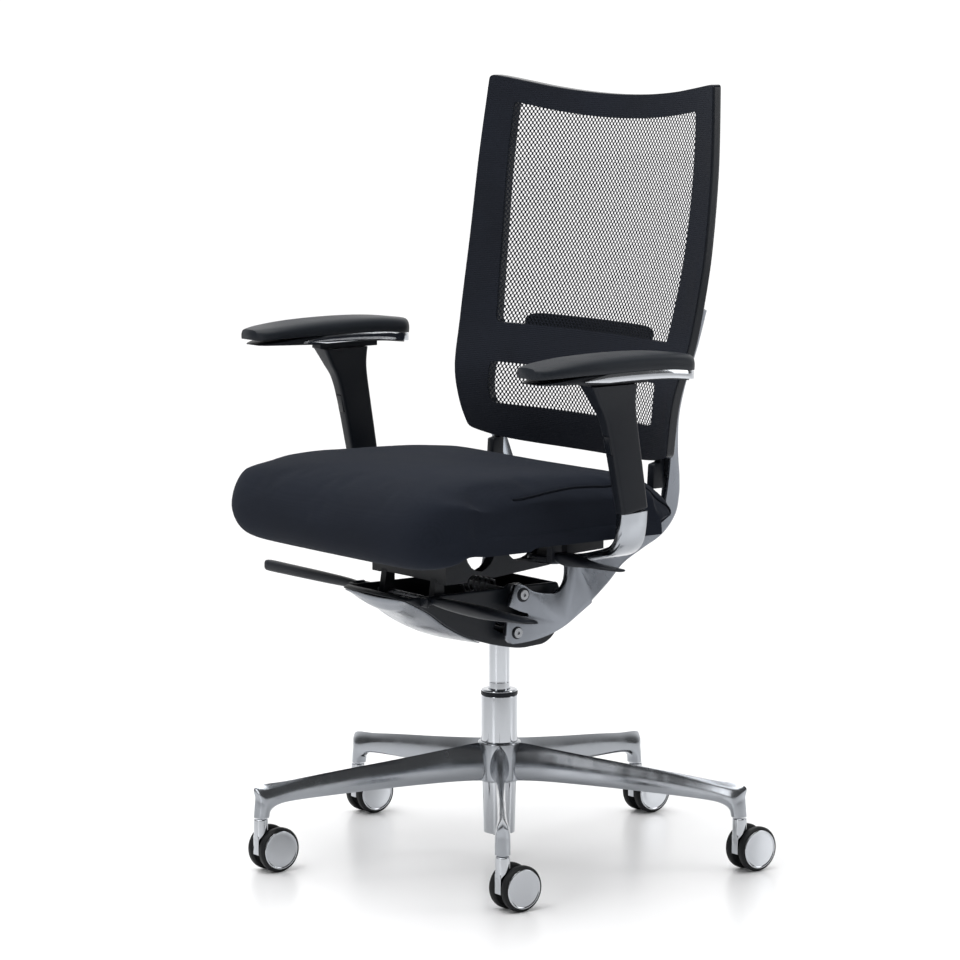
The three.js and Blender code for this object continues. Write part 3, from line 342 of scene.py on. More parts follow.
class Nodes:
    """Short names for the nodes of one material."""

    def __init__(self, made):
        self.tree = made.node_tree
        self.shader = self.tree.nodes["Principled BSDF"]
        self.place = self.tree.nodes.new("ShaderNodeTexCoord").outputs["Object"]

    def add(self, kind, inputs=None, **values):
        node = self.tree.nodes.new(kind)
        for key, value in values.items():
            setattr(node, key, value)
        for key, value in (inputs or {}).items():
            socket = node.inputs[key]
            if isinstance(value, bpy.types.NodeSocket):
                self.tree.links.new(value, socket)
            else:
                socket.default_value = value
        return node

    def stretched(self, scale):
        return self.add("ShaderNodeMapping", {"Vector": self.place, "Scale": scale}).outputs["Vector"]

    def noise(self, scale, detail=3.0, stretch=None, rough=0.5):
        where = self.stretched(stretch) if stretch else self.place
        values = {"Vector": where, "Scale": scale, "Detail": detail, "Roughness": rough}
        return self.add("ShaderNodeTexNoise", values).outputs["Fac"]

    def range(self, value, low, high, start=0.3, end=0.7):
        values = {"Value": value, "From Min": start, "From Max": end, "To Min": low, "To Max": high}
        return self.add("ShaderNodeMapRange", values).outputs["Result"]

    def ramp(self, value, low, high):
        node = self.add("ShaderNodeValToRGB", {"Fac": value})
        node.color_ramp.elements[0].color = (*low, 1)
        node.color_ramp.elements[1].color = (*high, 1)
        return node.outputs["Color"]

    def math(self, operation, a, b=0.0):
        node = self.add("ShaderNodeMath", {0: a, 1: b}, operation=operation)
        return node.outputs["Value"]

    def bump(self, height, strength, distance, over=None):
        values = {"Height": height, "Strength": strength, "Distance": distance}
        if over is not None:
            values["Normal"] = over
        return self.add("ShaderNodeBump", values).outputs["Normal"]

    def feed(self, **sockets):
        for key, value in sockets.items():
            self.tree.links.new(value, self.shader.inputs[key.replace("_", " ")])


def polished_metal(name, colour, rough, streak):
    """Bright metal with faint polishing streaks, smudges and hairline scratches."""
    made = material(name, colour, rough, metal=1.0)
    n = Nodes(made)
    smudge = n.noise(14.0, 4.0)
    grain = n.noise(60.0, 2.0, stretch=(1.0, 1.0, streak))
    both = n.math("ADD", n.range(smudge, 0, rough * 0.7), n.range(grain, 0, rough * 0.5))
    n.feed(Roughness=n.math("ADD", both, rough * 0.6))
    dim = tuple(c * 0.9 for c in colour)
    n.feed(Base_Color=n.ramp(smudge, dim, colour))
    n.feed(Normal=n.bump(n.noise(420.0, 2.0, stretch=(1.0, 1.0, streak)), 0.03, 0.0004))
    return made


def moulded(name, colour, rough, grain, coat=0.0, depth=0.25, gloss=0.2):
    """Moulded plastic or powder coat with a fine pebbled grain."""
    made = material(name, colour, rough, coat=coat, gloss=gloss)
    n = Nodes(made)
    pebble = n.add("ShaderNodeTexVoronoi", {"Vector": n.place, "Scale": grain}).outputs["Distance"]
    patches = n.noise(9.0, 3.0)
    n.feed(Roughness=n.range(patches, rough * 0.82, rough * 1.18))
    n.feed(Base_Color=n.ramp(patches, tuple(c * 0.8 for c in colour), tuple(c * 1.25 for c in colour)))
    n.feed(Normal=n.bump(pebble, depth, 0.0002))
    return made


def woven(name, dark, light, pitch, depth, sheen=0.03):
    """Woven cloth: threads along X and Y crossed, with slubs, colour that varies in patches, painted shade
    in the hollows of the weave and a soft nap.
    """
    made = material(name, dark, 0.86, sheen=sheen, gloss=0.06)
    n = Nodes(made)
    turns = math.pi / pitch
    spread = n.noise(220.0, 2.0)
    threads = []
    for axis in ("X", "Y", "Z"):
        part = n.add("ShaderNodeSeparateXYZ", {"Vector": n.place}).outputs[axis]
        wobble = n.math("MULTIPLY_ADD", spread, 0.6)
        angle = n.math("MULTIPLY", part, turns)
        threads.append(n.math("SINE", n.math("ADD", angle, wobble)))
    weave = n.math("MULTIPLY", threads[0], threads[1])
    cross = n.math("MULTIPLY", threads[2], n.math("ADD", threads[0], threads[1]))
    height = n.math("ADD", n.math("MULTIPLY", weave, 0.5), n.math("MULTIPLY", cross, 0.3))
    patches = n.noise(6.0, 4.0)
    # colour: random patches plus painted shade, darker where the weave is low and lighter on its crowns
    shade = n.math("ADD", n.math("MULTIPLY", height, 0.25), n.math("ADD", patches, -0.05))
    n.feed(Base_Color=n.ramp(shade, dark, light))
    folds = n.bump(n.noise(34.0, 3.0), 0.06, 0.0015)
    n.feed(Normal=n.bump(height, depth, 0.0002, over=folds))
    n.feed(Roughness=n.range(patches, 0.78, 0.95))
    return made


def knitted(name, dark, light, pitch):
    """Knit with fine horizontal courses, as on the border of the back, with painted shade in the hollows
    between the loops.
    """
    made = material(name, dark, 0.7, sheen=0.02, gloss=0.1)
    n = Nodes(made)
    split = n.add("ShaderNodeSeparateXYZ", {"Vector": n.place})
    courses = n.math("SINE", n.math("MULTIPLY", split.outputs["Z"], 2 * math.pi / pitch))
    wales = n.math("SINE", n.math("MULTIPLY", split.outputs["X"], math.pi / pitch))
    loops = n.math("MULTIPLY", courses, n.math("ADD", n.math("MULTIPLY", wales, 0.35), 0.65))
    patches = n.noise(12.0, 4.0)
    # colour: random patches plus painted shade, darker in the hollows of the loops and lighter on their tops
    shade = n.math("ADD", n.math("MULTIPLY", loops, 0.16), n.math("ADD", patches, -0.02))
    n.feed(Base_Color=n.ramp(shade, dark, light))
    n.feed(Normal=n.bump(loops, 0.5, 0.0004))
    n.feed(Roughness=n.range(patches, 0.6, 0.8))
    return made


ALUMINIUM = polished_metal("polished_aluminium", (0.40, 0.42, 0.45), 0.16, 0.06)
# painted shade: the base's polished aluminium with its colour darkened, for the back arms and the belly tray
SHADED_ALUMINIUM = polished_metal("shaded_aluminium", (0.21, 0.225, 0.25), 0.2, 0.06)
CHROME = polished_metal("bright_chrome", (0.56, 0.58, 0.61), 0.07, 1.0)
STEEL = polished_metal("turned_steel", (0.33, 0.34, 0.36), 0.28, 4.0)
BLACK_METAL = moulded("black_powder_coat", (0.010, 0.012, 0.016), 0.34, 2600.0, coat=0.03)
BLACK_PLASTIC = moulded("black_nylon", (0.010, 0.012, 0.0165), 0.42, 1900.0)
GLOSS_BLACK = moulded("gloss_black_nylon", (0.009, 0.011, 0.015), 0.25, 2400.0, coat=0.1, depth=0.08)
PAD_SKIN = moulded("soft_pad_skin", (0.013, 0.016, 0.021), 0.46, 1300.0, depth=0.3)
TYRE = moulded("castor_tyre", (0.008, 0.0085, 0.0095), 0.5, 1500.0)
# seat and piping cloth: painted shade in the hollows of the weave
SEAT_CLOTH = woven("seat_cloth", (0.009, 0.011, 0.0165), (0.017, 0.021, 0.031), 0.0011, 0.35)
PIPING_CLOTH = woven("piping_cloth", (0.006, 0.0075, 0.011), (0.012, 0.015, 0.022), 0.0008, 0.3)
# border knit and mesh yarn: painted shade in the hollows between the loops
KNIT = knitted("border_knit", (0.0075, 0.009, 0.0135), (0.017, 0.0205, 0.030), 0.0026)
MESH_YARN = knitted("mesh_yarn", (0.008, 0.0095, 0.014), (0.015, 0.018, 0.026), 0.0018)

# ---------------------------------------------------------------- base


HUB_RADIUS, HUB_LOW, HUB_HIGH = 29.0, 104.0, 158.0
CASTOR_PIVOTS = [joint_at(f"castor_{i}_swivel") for i in range(1, 6)]
PIVOT_CIRCLE = CASTOR_PIVOTS[0].xy.length
CASTOR_NECK = CASTOR_PIVOTS[0].z
STEM_RADIUS = 9.5


def spoke():
    """A thin blade along +X: a sharp ridge on top that turns down into the castor socket."""
    tip, heel = PIVOT_CIRCLE + STEM_RADIUS, PIVOT_CIRCLE - STEM_RADIUS - 1
    foot = CASTOR_NECK + 2
    stations = [  # outer point (r, z), inner point (r, z), width
        (16, 157, 16, 104, 30), (40, 155, 40, 105, 21), (75, 150, 75, 105, 14), (150, 140, 150, 102.5, 12),
        (235, 129.5, 235, 98, 11), (295, 121.5, 288, 94.5, 13), (tip - 4, 116, heel - 14, 91, 19),
        (tip - 2, 99, heel - 3, 84, 20), (tip, foot, heel, foot, 20),
    ]
    steps = 72
    outer = catmull([(r, z, 0) for r, z, *_ in stations], steps)
    inner = catmull([(s[2], s[3], 0) for s in stations], steps)
    widths = catmull([(s[4], 0, 0) for s in stations], steps)
    half = [(0, 0.0)] + [(p.x, p.y) for p in catmull(
        [(0.03, 0.06, 0), (0.22, 0.33, 0), (0.42, 0.46, 0), (0.64, 0.5, 0), (0.86, 0.43, 0),
         (1.0, 0.2, 0)], 12)]
    section = half + [(u, -w) for u, w in reversed(half[1:])]
    rings = []
    for a, b, width in zip(outer, inner, widths):
        rings.append([Vector((mix(a.x, b.x, u), w * width.x, mix(a.y, b.y, u))) for u, w in section])
    return rings


def base_star():
    hub = lathe(rounded([(0, HUB_LOW), (HUB_RADIUS, HUB_LOW), (HUB_RADIUS, HUB_HIGH),
        (0, HUB_HIGH)], 3), 96)
    arm = spoke()
    for pivot in CASTOR_PIVOTS:
        turn = Matrix.Rotation(math.atan2(pivot.y, pivot.x), 3, "Z")
        join(hub, loft([[turn @ p for p in ring] for ring in arm]))
    cut(hub, lathe([(0, 84), (22.9, 84), (24.8, HUB_HIGH), (24.8, HUB_HIGH + 10), (0, HUB_HIGH + 10)], 96))
    build("base_star_casting", hub, ALUMINIUM, "base", "polished_aluminium", "base_star", angle=38)


# ---------------------------------------------------------------- castors


WHEEL_LOW, WHEEL_HIGH = cad("castor_1_wheel_left")
WHEEL_RADIUS = (WHEEL_HIGH.z - WHEEL_LOW.z) / 2
WHEEL_WIDTH = WHEEL_HIGH.x - WHEEL_LOW.x
WHEEL_GAP = 2 * (WHEEL_LOW.x - CASTOR_PIVOTS[0].x)
TRAIL = (joint_at("castor_1_roll_left") - CASTOR_PIVOTS[0]).y
ALONG_X = Matrix(((0, 0, 1), (0, 1, 0), (-1, 0, 0)))


def castor_housing():
    """Chrome sleeve whose lower half narrows to a web between the wheels."""
    top = CASTOR_NECK
    body = lathe(rounded([(0, 44), (STEM_RADIUS, 44), (STEM_RADIUS, top), (0, top)], 1.4), 64)
    half = WHEEL_GAP / 2 - 0.6
    boss = arc(TRAIL, WHEEL_RADIUS, 10, 243, 432, 26)
    outline = [(1 - STEM_RADIUS, 50), (1 - STEM_RADIUS, 24), *boss, (STEM_RADIUS - 1, 50)]
    join(body, bevelled(sideways(outline, -half, half), 0.8))
    clear = WHEEL_RADIUS + 1.2
    for side in (-1, 1):
        near = side * (WHEEL_GAP / 2 - 0.4)
        cut(body, rod(clear, (near, TRAIL, WHEEL_RADIUS), (near + side * 16, TRAIL, WHEEL_RADIUS), 72))
    return body


def wheel_tyre():
    """Rubber tread with a stepped side wall that holds the disc."""
    low, high = WHEEL_GAP / 2, WHEEL_GAP / 2 + WHEEL_WIDTH
    r = WHEEL_RADIUS
    tread = [(4.4, low), (r - 7, low), (r - 6, low + 0.6), (r - 2.5, low + 0.6), (r, low + 3.2),
             (r, high - 3.2)]
    face = [(r - 2.6, high - 0.1), (r - 3.6, high - 0.1), (r - 4.0, high - 1.2), (4.4, high - 1.6),
            (4.4, low)]
    return lathe(rounded(tread + face, 1.2), 96, ALONG_X)


def wheel_disc():
    """Bright disc, dished a little, with a turned lip."""
    high = WHEEL_GAP / 2 + WHEEL_WIDTH
    r = WHEEL_RADIUS - 4.1
    profile = [(0, high - 1.5), (r, high - 1.5), (r, high - 0.1), (r - 0.9, high + 0.5),
               (r - 2.0, high + 0.3), (r - 2.8, high - 0.2), (r * 0.6, high + 0.25), (0, high + 0.5)]
    return lathe(rounded(profile, 0.8), 96, ALONG_X)


def castors():
    shapes = {"housing": castor_housing(), "tyre": wheel_tyre(), "disc": wheel_disc()}
    first = {key: piece.data for key, piece in shapes.items()}
    for piece in shapes.values():
        bpy.data.objects.remove(piece)
    for number, pivot in enumerate(CASTOR_PIVOTS, 1):
        name = f"castor_{number}"

        def placed(key, at, flip=False):
            piece = bpy.data.objects.new("raw", first[key].copy())
            scene.collection.objects.link(piece)
            if flip:
                moved(piece, Matrix.Scale(-1, 4, (1, 0, 0)))
                piece.data.flip_normals()
            return moved(piece, Matrix.Translation(at))

        at = Vector((pivot.x, pivot.y, 0))
        build(f"{name}_sleeve", placed("housing", at), CHROME, name, "chrome", f"{name}_housing")
        axle = at + Vector((0, TRAIL, WHEEL_RADIUS))
        for side, flip in (("left", False), ("right", True)):
            tyre = placed("tyre", axle, flip)
            build(f"{name}_tyre_{side}", tyre, TYRE, f"{name}_{side}", "wheel_tyre", f"{name}_wheel_{side}")
            build(f"{name}_disc_{side}", placed("disc", axle, flip), CHROME, f"{name}_{side}", "chrome")


# ---------------------------------------------------------------- column


def column():
    top = cad("column_sleeve")[1].z
    low = cad("column_sleeve")[0].z
    radius = cad("column_sleeve")[1].x
    sleeve = lathe(rounded([(7, low), (21, low), (radius, HUB_HIGH), (radius, top), (21.5, top),
                            (21.5, HUB_HIGH), (18, low + 8), (7, low + 8), (7, low)], 1.0), 96)
    hole = rod(1.6, (-30, -2, top - 9), (-18, -2, top - 9), 20)
    build("column_outer_sleeve", cut(sleeve, hole), CHROME, "base", "chrome", "column_sleeve")
    bush_top = cad("guide_bush")[1].z
    bore = 14.6
    bush = [(bore, HUB_HIGH), (21.2, HUB_HIGH), (21.2, top + 0.3), (radius + 0.4, top + 0.3),
            (radius + 0.4, bush_top - 3.2), (bore, bush_top - 3.2), (bore, HUB_HIGH)]
    build("column_bush", lathe(rounded(bush, 0.8), 96), BLACK_PLASTIC, "base", "black_plastic",
        "guide_bush")
    cap = [(bore, bush_top - 3.1), (radius - 0.2, bush_top - 3.1), (radius - 0.8, bush_top - 0.8),
           (radius - 3.5, bush_top), (bore + 2, bush_top), (bore, bush_top - 0.6), (bore, bush_top - 3.1)]
    build("column_cap_ring", lathe(rounded(cap, 0.9), 96), CHROME, "base", "chrome")
    low, high = cad("gas_cylinder")
    tube = [(5.4, low.z), (14, low.z), (14, 238), (13.75, 238.4), (13.75, 239.4), (14, 239.8),
            (14, high.z - 2), (12.6, high.z), (5.4, high.z), (5.4, low.z)]
    build("gas_cylinder_tube", lathe(rounded(tube, 0.5, 2), 96), CHROME, "column", "chrome", "gas_cylinder")


# ---------------------------------------------------------------- tilt mechanism


HOUSING_HALF = 75.0
RECLINE = joint_at("back_recline")
STOP = cad("stop_rod")
STOP_Y, STOP_Z = (STOP[0].y + STOP[1].y) / 2, (STOP[0].z + STOP[1].z) / 2
FRONT_PIN = joint_at("seat_tilt")
LEVER = joint_at("tilt_lever_lift")
# height of the housing's lower edge at each y
keel = along([(-206, 377), (-196, 372), (-168, 357), (-140, 337), (-108, 320), (-72, 307), (-30, 297.5),
              (-12, 296)])


def housing_side(inset):
    """Side outline of the mechanism housing; an inset one, for the hollow, runs out above."""
    top = 380 + (20 if inset else 0)
    front = -206 + inset * 2.2
    points = [(mix(front, -12, k / 24), keel(mix(front, -12, k / 24)) + inset * 1.12) for k in range(25)]
    points += bend((10 - inset, 297 + inset), (40 - inset, 299 + inset), (50 - inset, 338), 10)
    points += [(48 - inset, 366), (42 - inset, top), (front + 6, top)]
    return points


def mechanism():
    wall = 4
    body = bevelled(sideways(housing_side(0), -HOUSING_HALF, HOUSING_HALF), 6, angle=50, segments=5)
    cut(body, sideways(housing_side(wall), wall - HOUSING_HALF, HOUSING_HALF - wall))
    lobe = [(-50, 360), *bend((-50, 372), (-47, 385), (-36, 385)), (-28, 385), *bend((-24, 385),
        (-13, 383), (-8, 360))]
    for side in (-1, 1):
        near, far = sorted((side * (HOUSING_HALF - wall), side * HOUSING_HALF))
        join(body, bevelled(sideways(lobe, near, far), 0.8))
        for y0, y1 in ((-12.6, -8.4), (8.4, 12.6)):
            near, far = sorted((side * (HOUSING_HALF - 1), side * (LEVER.x + 6)))
            lug = box((near, LEVER.y + y0, LEVER.z - 8), (far, LEVER.y + y1, LEVER.z + 4))
            join(body, bevelled(lug, 1.2))
    join(body, rod(20, (0, 0, 297), (0, 0, 337), 64))
    reach = HOUSING_HALF + 20
    start = math.degrees(math.atan2(STOP_Z - RECLINE.z, STOP_Y - RECLINE.y))
    swing = JOINTS["back_recline"]["range_deg"][1] + 7
    length = math.hypot(STOP_Z - RECLINE.z, STOP_Y - RECLINE.y)
    slot = arc(RECLINE.y, RECLINE.z, length + 4.8, start - swing, start, 14)
    slot += arc(STOP_Y, STOP_Z, 4.8, start, start + 180, 8)
    slot += arc(RECLINE.y, RECLINE.z, length - 4.8, start, start - swing, 14)
    cut(body, sideways(slot, -reach, reach))
    for y, z in ((RECLINE.y, RECLINE.z), (FRONT_PIN.y, FRONT_PIN.z)):
        cut(body, rod(5.4, (-reach, y, z), (reach, y, z), 40))
    cut(body, rod(14.4, (0, 0, 270), (0, 0, 350), 64))
    for side in (-1, 1):
        x = side * LEVER.x
        cut(body, rod(3.4, (x, LEVER.y - 20, LEVER.z), (x, LEVER.y + 20, LEVER.z), 24))
    build("mechanism_shell", body, BLACK_METAL, "column", "black_metal", "mechanism_housing", angle=40)


def belly_tray():
    """Shallow polished tray under the front of the housing."""
    sag = along([(-206, 3), (-198, 9), (-190, 12.5), (-145, 9.5), (-108, 6), (-84, 2.4)])
    half = 68.0
    rings = []
    for i in range(37):
        y = mix(-205, -84, i / 36)
        edge = keel(y) - 0.8
        ring = []
        for k in range(33):
            x = mix(-half, half, k / 32)
            ring.append(Vector((x, y, edge - 1.4 - sag(y) * (1 - (x / half) ** 2))))
        for k in range(33):
            x = mix(half, -half, k / 32)
            ring.append(Vector((x, y, edge - max(0.0, sag(y) * (1 - (x / half) ** 2) - 2))))
        rings.append(ring)
    tray = bevelled(loft(rings), 0.5, angle=60, segments=2)
    # painted shade: a darkened copy of the polished aluminium
    build("belly_tray_pressing", tray, SHADED_ALUMINIUM, "column", "polished_aluminium", "belly_tray",
        angle=50)


def bolt(centre, side, radius, socket, name, body):
    """Domed screw head with a hexagon socket, on the outer side of a plate."""
    turn = Matrix.Rotation(side * math.pi / 2, 3, "Y")
    profile = [(0, -1), (radius, -1), (radius, 1.4), (radius * 0.72, 3.0), (0, 3.2)]
    head = lathe(rounded(profile, 0.9), 48, turn, centre)
    step = Vector((side, 0, 0))
    cut(head, rod(socket, Vector(centre) + step * 0.9, Vector(centre) + step * 6, 6))
    return build(name, head, STEEL, body, "steel")


def lever_rings(stations, around=20):
    """Rings of a lever from (x, y, z, height above, height below, half width) stations."""
    rings = []
    smoothed = [catmull([s[k:k + 3] for s in stations], 30) for k in (0, 3)]
    for centre, size in zip(*smoothed):
        ring = []
        for k in range(around):
            turn = 2 * math.pi * k / around
            flat = 0.72
            c, s = math.cos(turn), math.sin(turn)
            y = size.z * math.copysign(abs(c) ** flat, c)
            z = (size.x if s > 0 else size.y) * math.copysign(abs(s) ** flat, s)
            ring.append(Vector((centre.x, centre.y + y, centre.z + z)))
        rings.append(ring)
    return rings


def levers():
    tip = cad("tilt_lever")[1].x
    x, y, z = LEVER
    paddle = [(x, y, z, 4, 4, 6), (110, y, z, 6, 7, 7.4), (150, y, z, 7, 9, 9), (200, y, z, 6, 9, 12),
              (240, y, z, 4, 6.5, 13), (275, y, z, 2.6, 4, 12), (tip - 12, y, z, 2.2, 2.6, 10),
              (tip, y, z, 0.9, 0.9, 4)]
    bar = [(x, y, z, 4, 4, 6), (110, y, z, 6, 6, 6.5), (160, y, z, 7, 7, 6.5), (250, y, z, 7.6, 7.6, 6.2),
           (tip - 8, y, z, 7.6, 7.6, 5.8), (tip - 2, y, z, 5.5, 5.5, 4), (tip, y, z, 1.5, 1.5, 1.2)]
    for name, stations in (("tilt_lever", paddle), ("height_lever", bar)):
        piece = loft(lever_rings(stations))
        join(piece, rod(6, (x, y - 7.8, z), (x, y + 7.8, z)))
        join(piece, rod(3, (x, y - 12.4, z), (x, y + 12.4, z), 24))
        if name == "height_lever":
            flipped = mirrored(piece)
            bpy.data.objects.remove(piece)
            piece = flipped
        build(f"{name}_handle", piece, BLACK_PLASTIC, name, "black_plastic", name, angle=50)
    x, y, z = joint_at("depth_lever_lift")
    tip = cad("depth_lever")[1].x
    wing = [(x, y, z, 4, 5, 8), (x + 16, y + 1, z, 7, 10, 10), (x + 34, y + 4, z - 2, 7, 8, 11),
            (x + 58, y + 9, z - 4.5, 3.6, 4, 11), (x + 88, y + 16, z - 6.4, 2.2, 2.4, 9.5),
            (tip - 4, y + 20, z - 7, 1.8, 1.8, 6), (tip, y + 21, z - 7, 0.7, 0.7, 2.5)]
    piece = loft(lever_rings(wing))
    join(piece, rod(5.4, (x, y - 9.8, z), (x, y + 9.8, z)))
    join(piece, rod(2.5, (x, y - 14.2, z), (x, y + 14.2, z), 24))
    build("depth_lever_handle", piece, BLACK_PLASTIC, "depth_lever", "black_plastic", "depth_lever",
        angle=50)


# ---------------------------------------------------------------- back arms


ARM_INNER, ARM_WIDTH = 86.5, 9.0
BACK_LOW, BACK_HIGH = 545.0, 1048.0
BACK_BOW, BACK_DEPTH = 36.0, 13.0
back_side = along([(525, 118), (545, 113), (590, 104), (628, 102), (664, 109), (700, 119), (764, 131.5),
                   (830, 142.5), (936, 155), (1048, 166), (1068, 168)])
back_half = along([(525, 206), (545, 214), (590, 231), (628, 240), (700, 252), (764, 256), (830, 257),
                   (936, 254), (1048, 243), (1068, 241)])


def back_front(x, z):
    """Depth of the front face of the back's frame at a place on it."""
    share = min(1.0, abs(x) / back_half(z))
    return back_side(z) + BACK_BOW * (1 - share * share)


def arm_plate():
    """Side plate of the mechanism end, with its hook over the shaft and the notch between the two bolts."""
    outline = [(-58, 349), (-59, 318), *arc(-46, 319, 12, 189, 270, 8),
               *bend((-46, 307), (10, 307), (46, 327), 12), (84, 350), (84, 388),
               *bend((66, 410), (58, 418), (50, 413), 6), (42, 410), (42, 394),
               *bend((42, 394), (40, 371), (20, 369), 10), *bend((20, 369), (-8, 370), (-22, 379), 8),
               *bend((-22, 379), (-32, 388), (-44, 386), 8), *bend((-44, 386), (-50, 372), (-55, 358), 6),
               *bend((-55, 358), (-38, 349), (-24, 346), 6),
               *bend((-24, 346), (-22, 343.5), (-25, 342.5), 4),
               *bend((-25, 342.5), (-42, 344), (-58, 349), 6)[:-1]]
    return bevelled(sideways(outline, ARM_INNER, ARM_INNER + ARM_WIDTH), 1.1, angle=40)


def arm_beam():
    """Flattened beam that sweeps out and up from the plate to the back of the frame."""
    x = ARM_INNER + ARM_WIDTH / 2
    lower = [(x, 74, 344), (x + 1, 84, 352), (x + 27, 95, 382), (x + 51, 102, 411), (x + 69, 117, 430),
             (x + 81, 141, 449), (x + 87, 157, 474), (x + 91, 160, 500), (x + 97, 155, 528)]
    upper = [(x, 44, 409), (x + 1, 58, 410), (x + 18, 64, 418), (x + 42, 78, 428), (x + 61, 96, 438),
             (x + 74, 119, 452), (x + 82, 136, 474), (x + 87, 137, 500), (x + 94, 135, 527)]
    thick = [8.7, 8.9, 11, 12, 12, 12, 13, 14, 15]
    for z in (566, 610, 654, 698, 730, 752):
        t = (z - 566) / (752 - 566)
        px = mix(196, 243, t)
        front = back_front(px, z) + BACK_DEPTH + 0.6
        lower.append((px, front + mix(15, 7, t), z))
        upper.append((px, front, z))
        thick.append(mix(15, 12, t))
    steps = 110
    low, high = catmull(lower, steps, even=True), catmull(upper, steps, even=True)
    widths = catmull([(w, 0, 0) for w in thick], steps)
    around = [(0, 0.3), (0.03, 0.72), (0.12, 0.95), (0.3, 1.0), (0.5, 1.03), (0.7, 1.0), (0.88, 0.95),
              (0.97, 0.74), (1, 0.34)]
    section = around + [(u, -w) for u, w in reversed(around)]
    sides = []
    for i in range(steps + 1):
        ahead, behind = min(i + 1, steps), max(i - 1, 0)
        path = (low[ahead] - low[behind]) + (high[ahead] - high[behind])
        side = path.cross(high[i] - low[i]).normalized()
        if side.dot(sides[-1] if sides else Vector((1, 0, 0))) < 0:
            side.negate()
        sides.append(side)
    rings = []
    for i in range(steps + 1):
        reach = min(9, i, steps - i)
        side = sum(sides[i - reach:i + reach + 1], Vector()).normalized()
        rings.append([low[i] + (high[i] - low[i]) * u + side * (w * widths[i].x / 2) for u, w in section])
    return loft(rings)


def back_arms():
    arm = join(arm_plate(), arm_beam())
    for y, z, radius in ((RECLINE.y, RECLINE.z, 5.4), (STOP_Y, STOP_Z, 4.4)):
        cut(arm, rod(radius, (50, y, z), (120, y, z), 40))
    # painted shade: a darkened copy of the polished aluminium
    pair("back_arm_casting", arm, SHADED_ALUMINIUM, "back", "polished_aluminium", "back_arm_", angle=30)
    face = ARM_INNER + ARM_WIDTH
    for side, word in ((1, "left"), (-1, "right")):
        turn = Matrix.Rotation(side * math.pi / 2, 3, "Y")
        ring = [(5.6, 0), (9.6, 0), (9.6, 1.0), (8.8, 1.6), (6.2, 1.6), (5.6, 1.0), (5.6, 0)]
        washer = lathe(rounded(ring, 0.5), 56, turn, (side * face, RECLINE.y, RECLINE.z))
        build(f"recline_washer_{word}", washer, BLACK_PLASTIC, "back", "black_plastic")
        ring = [(4.8, 0), (8.4, 0), (8.4, 0.5), (4.8, 0.5), (4.8, 0)]
        seat = lathe(ring, 48, turn, (side * face, STOP_Y, STOP_Z))
        build(f"stop_washer_{word}", seat, BLACK_PLASTIC, "back", "black_plastic")
        bolt((side * face, RECLINE.y, RECLINE.z), side, 6.0, 2.6, f"recline_bolt_{word}", "back")
        bolt((side * face, STOP_Y, STOP_Z), side, 6.6, 2.6, f"stop_bolt_{word}", "back")


# ---------------------------------------------------------------- frame and mesh of the back


LOWER_WINDOW = (184.0, 592.0, 652.0)  # half width, bottom, top
UPPER_BOTTOM, UPPER_TOP, UPPER_SAG = 703.0, 1010.0, 17.0
upper_half = along([(703, 190), (787, 199.6), (866.5, 204.5), (940.7, 204.6), (1010, 200)])
corner = along([(592, 15), (652, 5), (703, 5), (1010, 5)])
RECESS = 144.5


def window_half(z):
    half, _, high = LOWER_WINDOW
    if z <= high:
        return half
    if z < UPPER_BOTTOM:
        return mix(half, upper_half(UPPER_BOTTOM), (z - high) / (UPPER_BOTTOM - high))
    return upper_half(z)


def window_top(x):
    return UPPER_TOP - UPPER_SAG * (1 - min(1.0, abs(x) / 200) ** 2)


def frame_rows():
    """Rows of the frame's grid, each as (zone, share), from the lower edge up."""
    rows = [("foot", k / 4) for k in range(4)]
    rows += [("lower", f) for f in (0, 0.46, 0.8)]
    rows += [("band", f) for f in (0, 0.34, 0.67)]
    rows += [("upper", f) for f in (0, 0.045)] + [("upper", k / 14) for k in range(2, 13)]
    rows += [("upper", f) for f in (0.95,)]
    return rows + [("head", k / 4) for k in range(5)]


def row_height(zone, share, x, half):
    s = min(1.0, abs(x) / half)
    if zone == "foot":
        return mix(BACK_LOW + 12 * s ** 6 - 4 * (1 - s * s), LOWER_WINDOW[1], share)
    if zone == "lower":
        return mix(LOWER_WINDOW[1], LOWER_WINDOW[2], share)
    if zone == "band":
        return mix(LOWER_WINDOW[2], UPPER_BOTTOM, share)
    if zone == "upper":
        return mix(UPPER_BOTTOM, window_top(x), share)
    return mix(window_top(x), BACK_HIGH - 24 * (1 - s * s) - 3 * s ** 12, share)


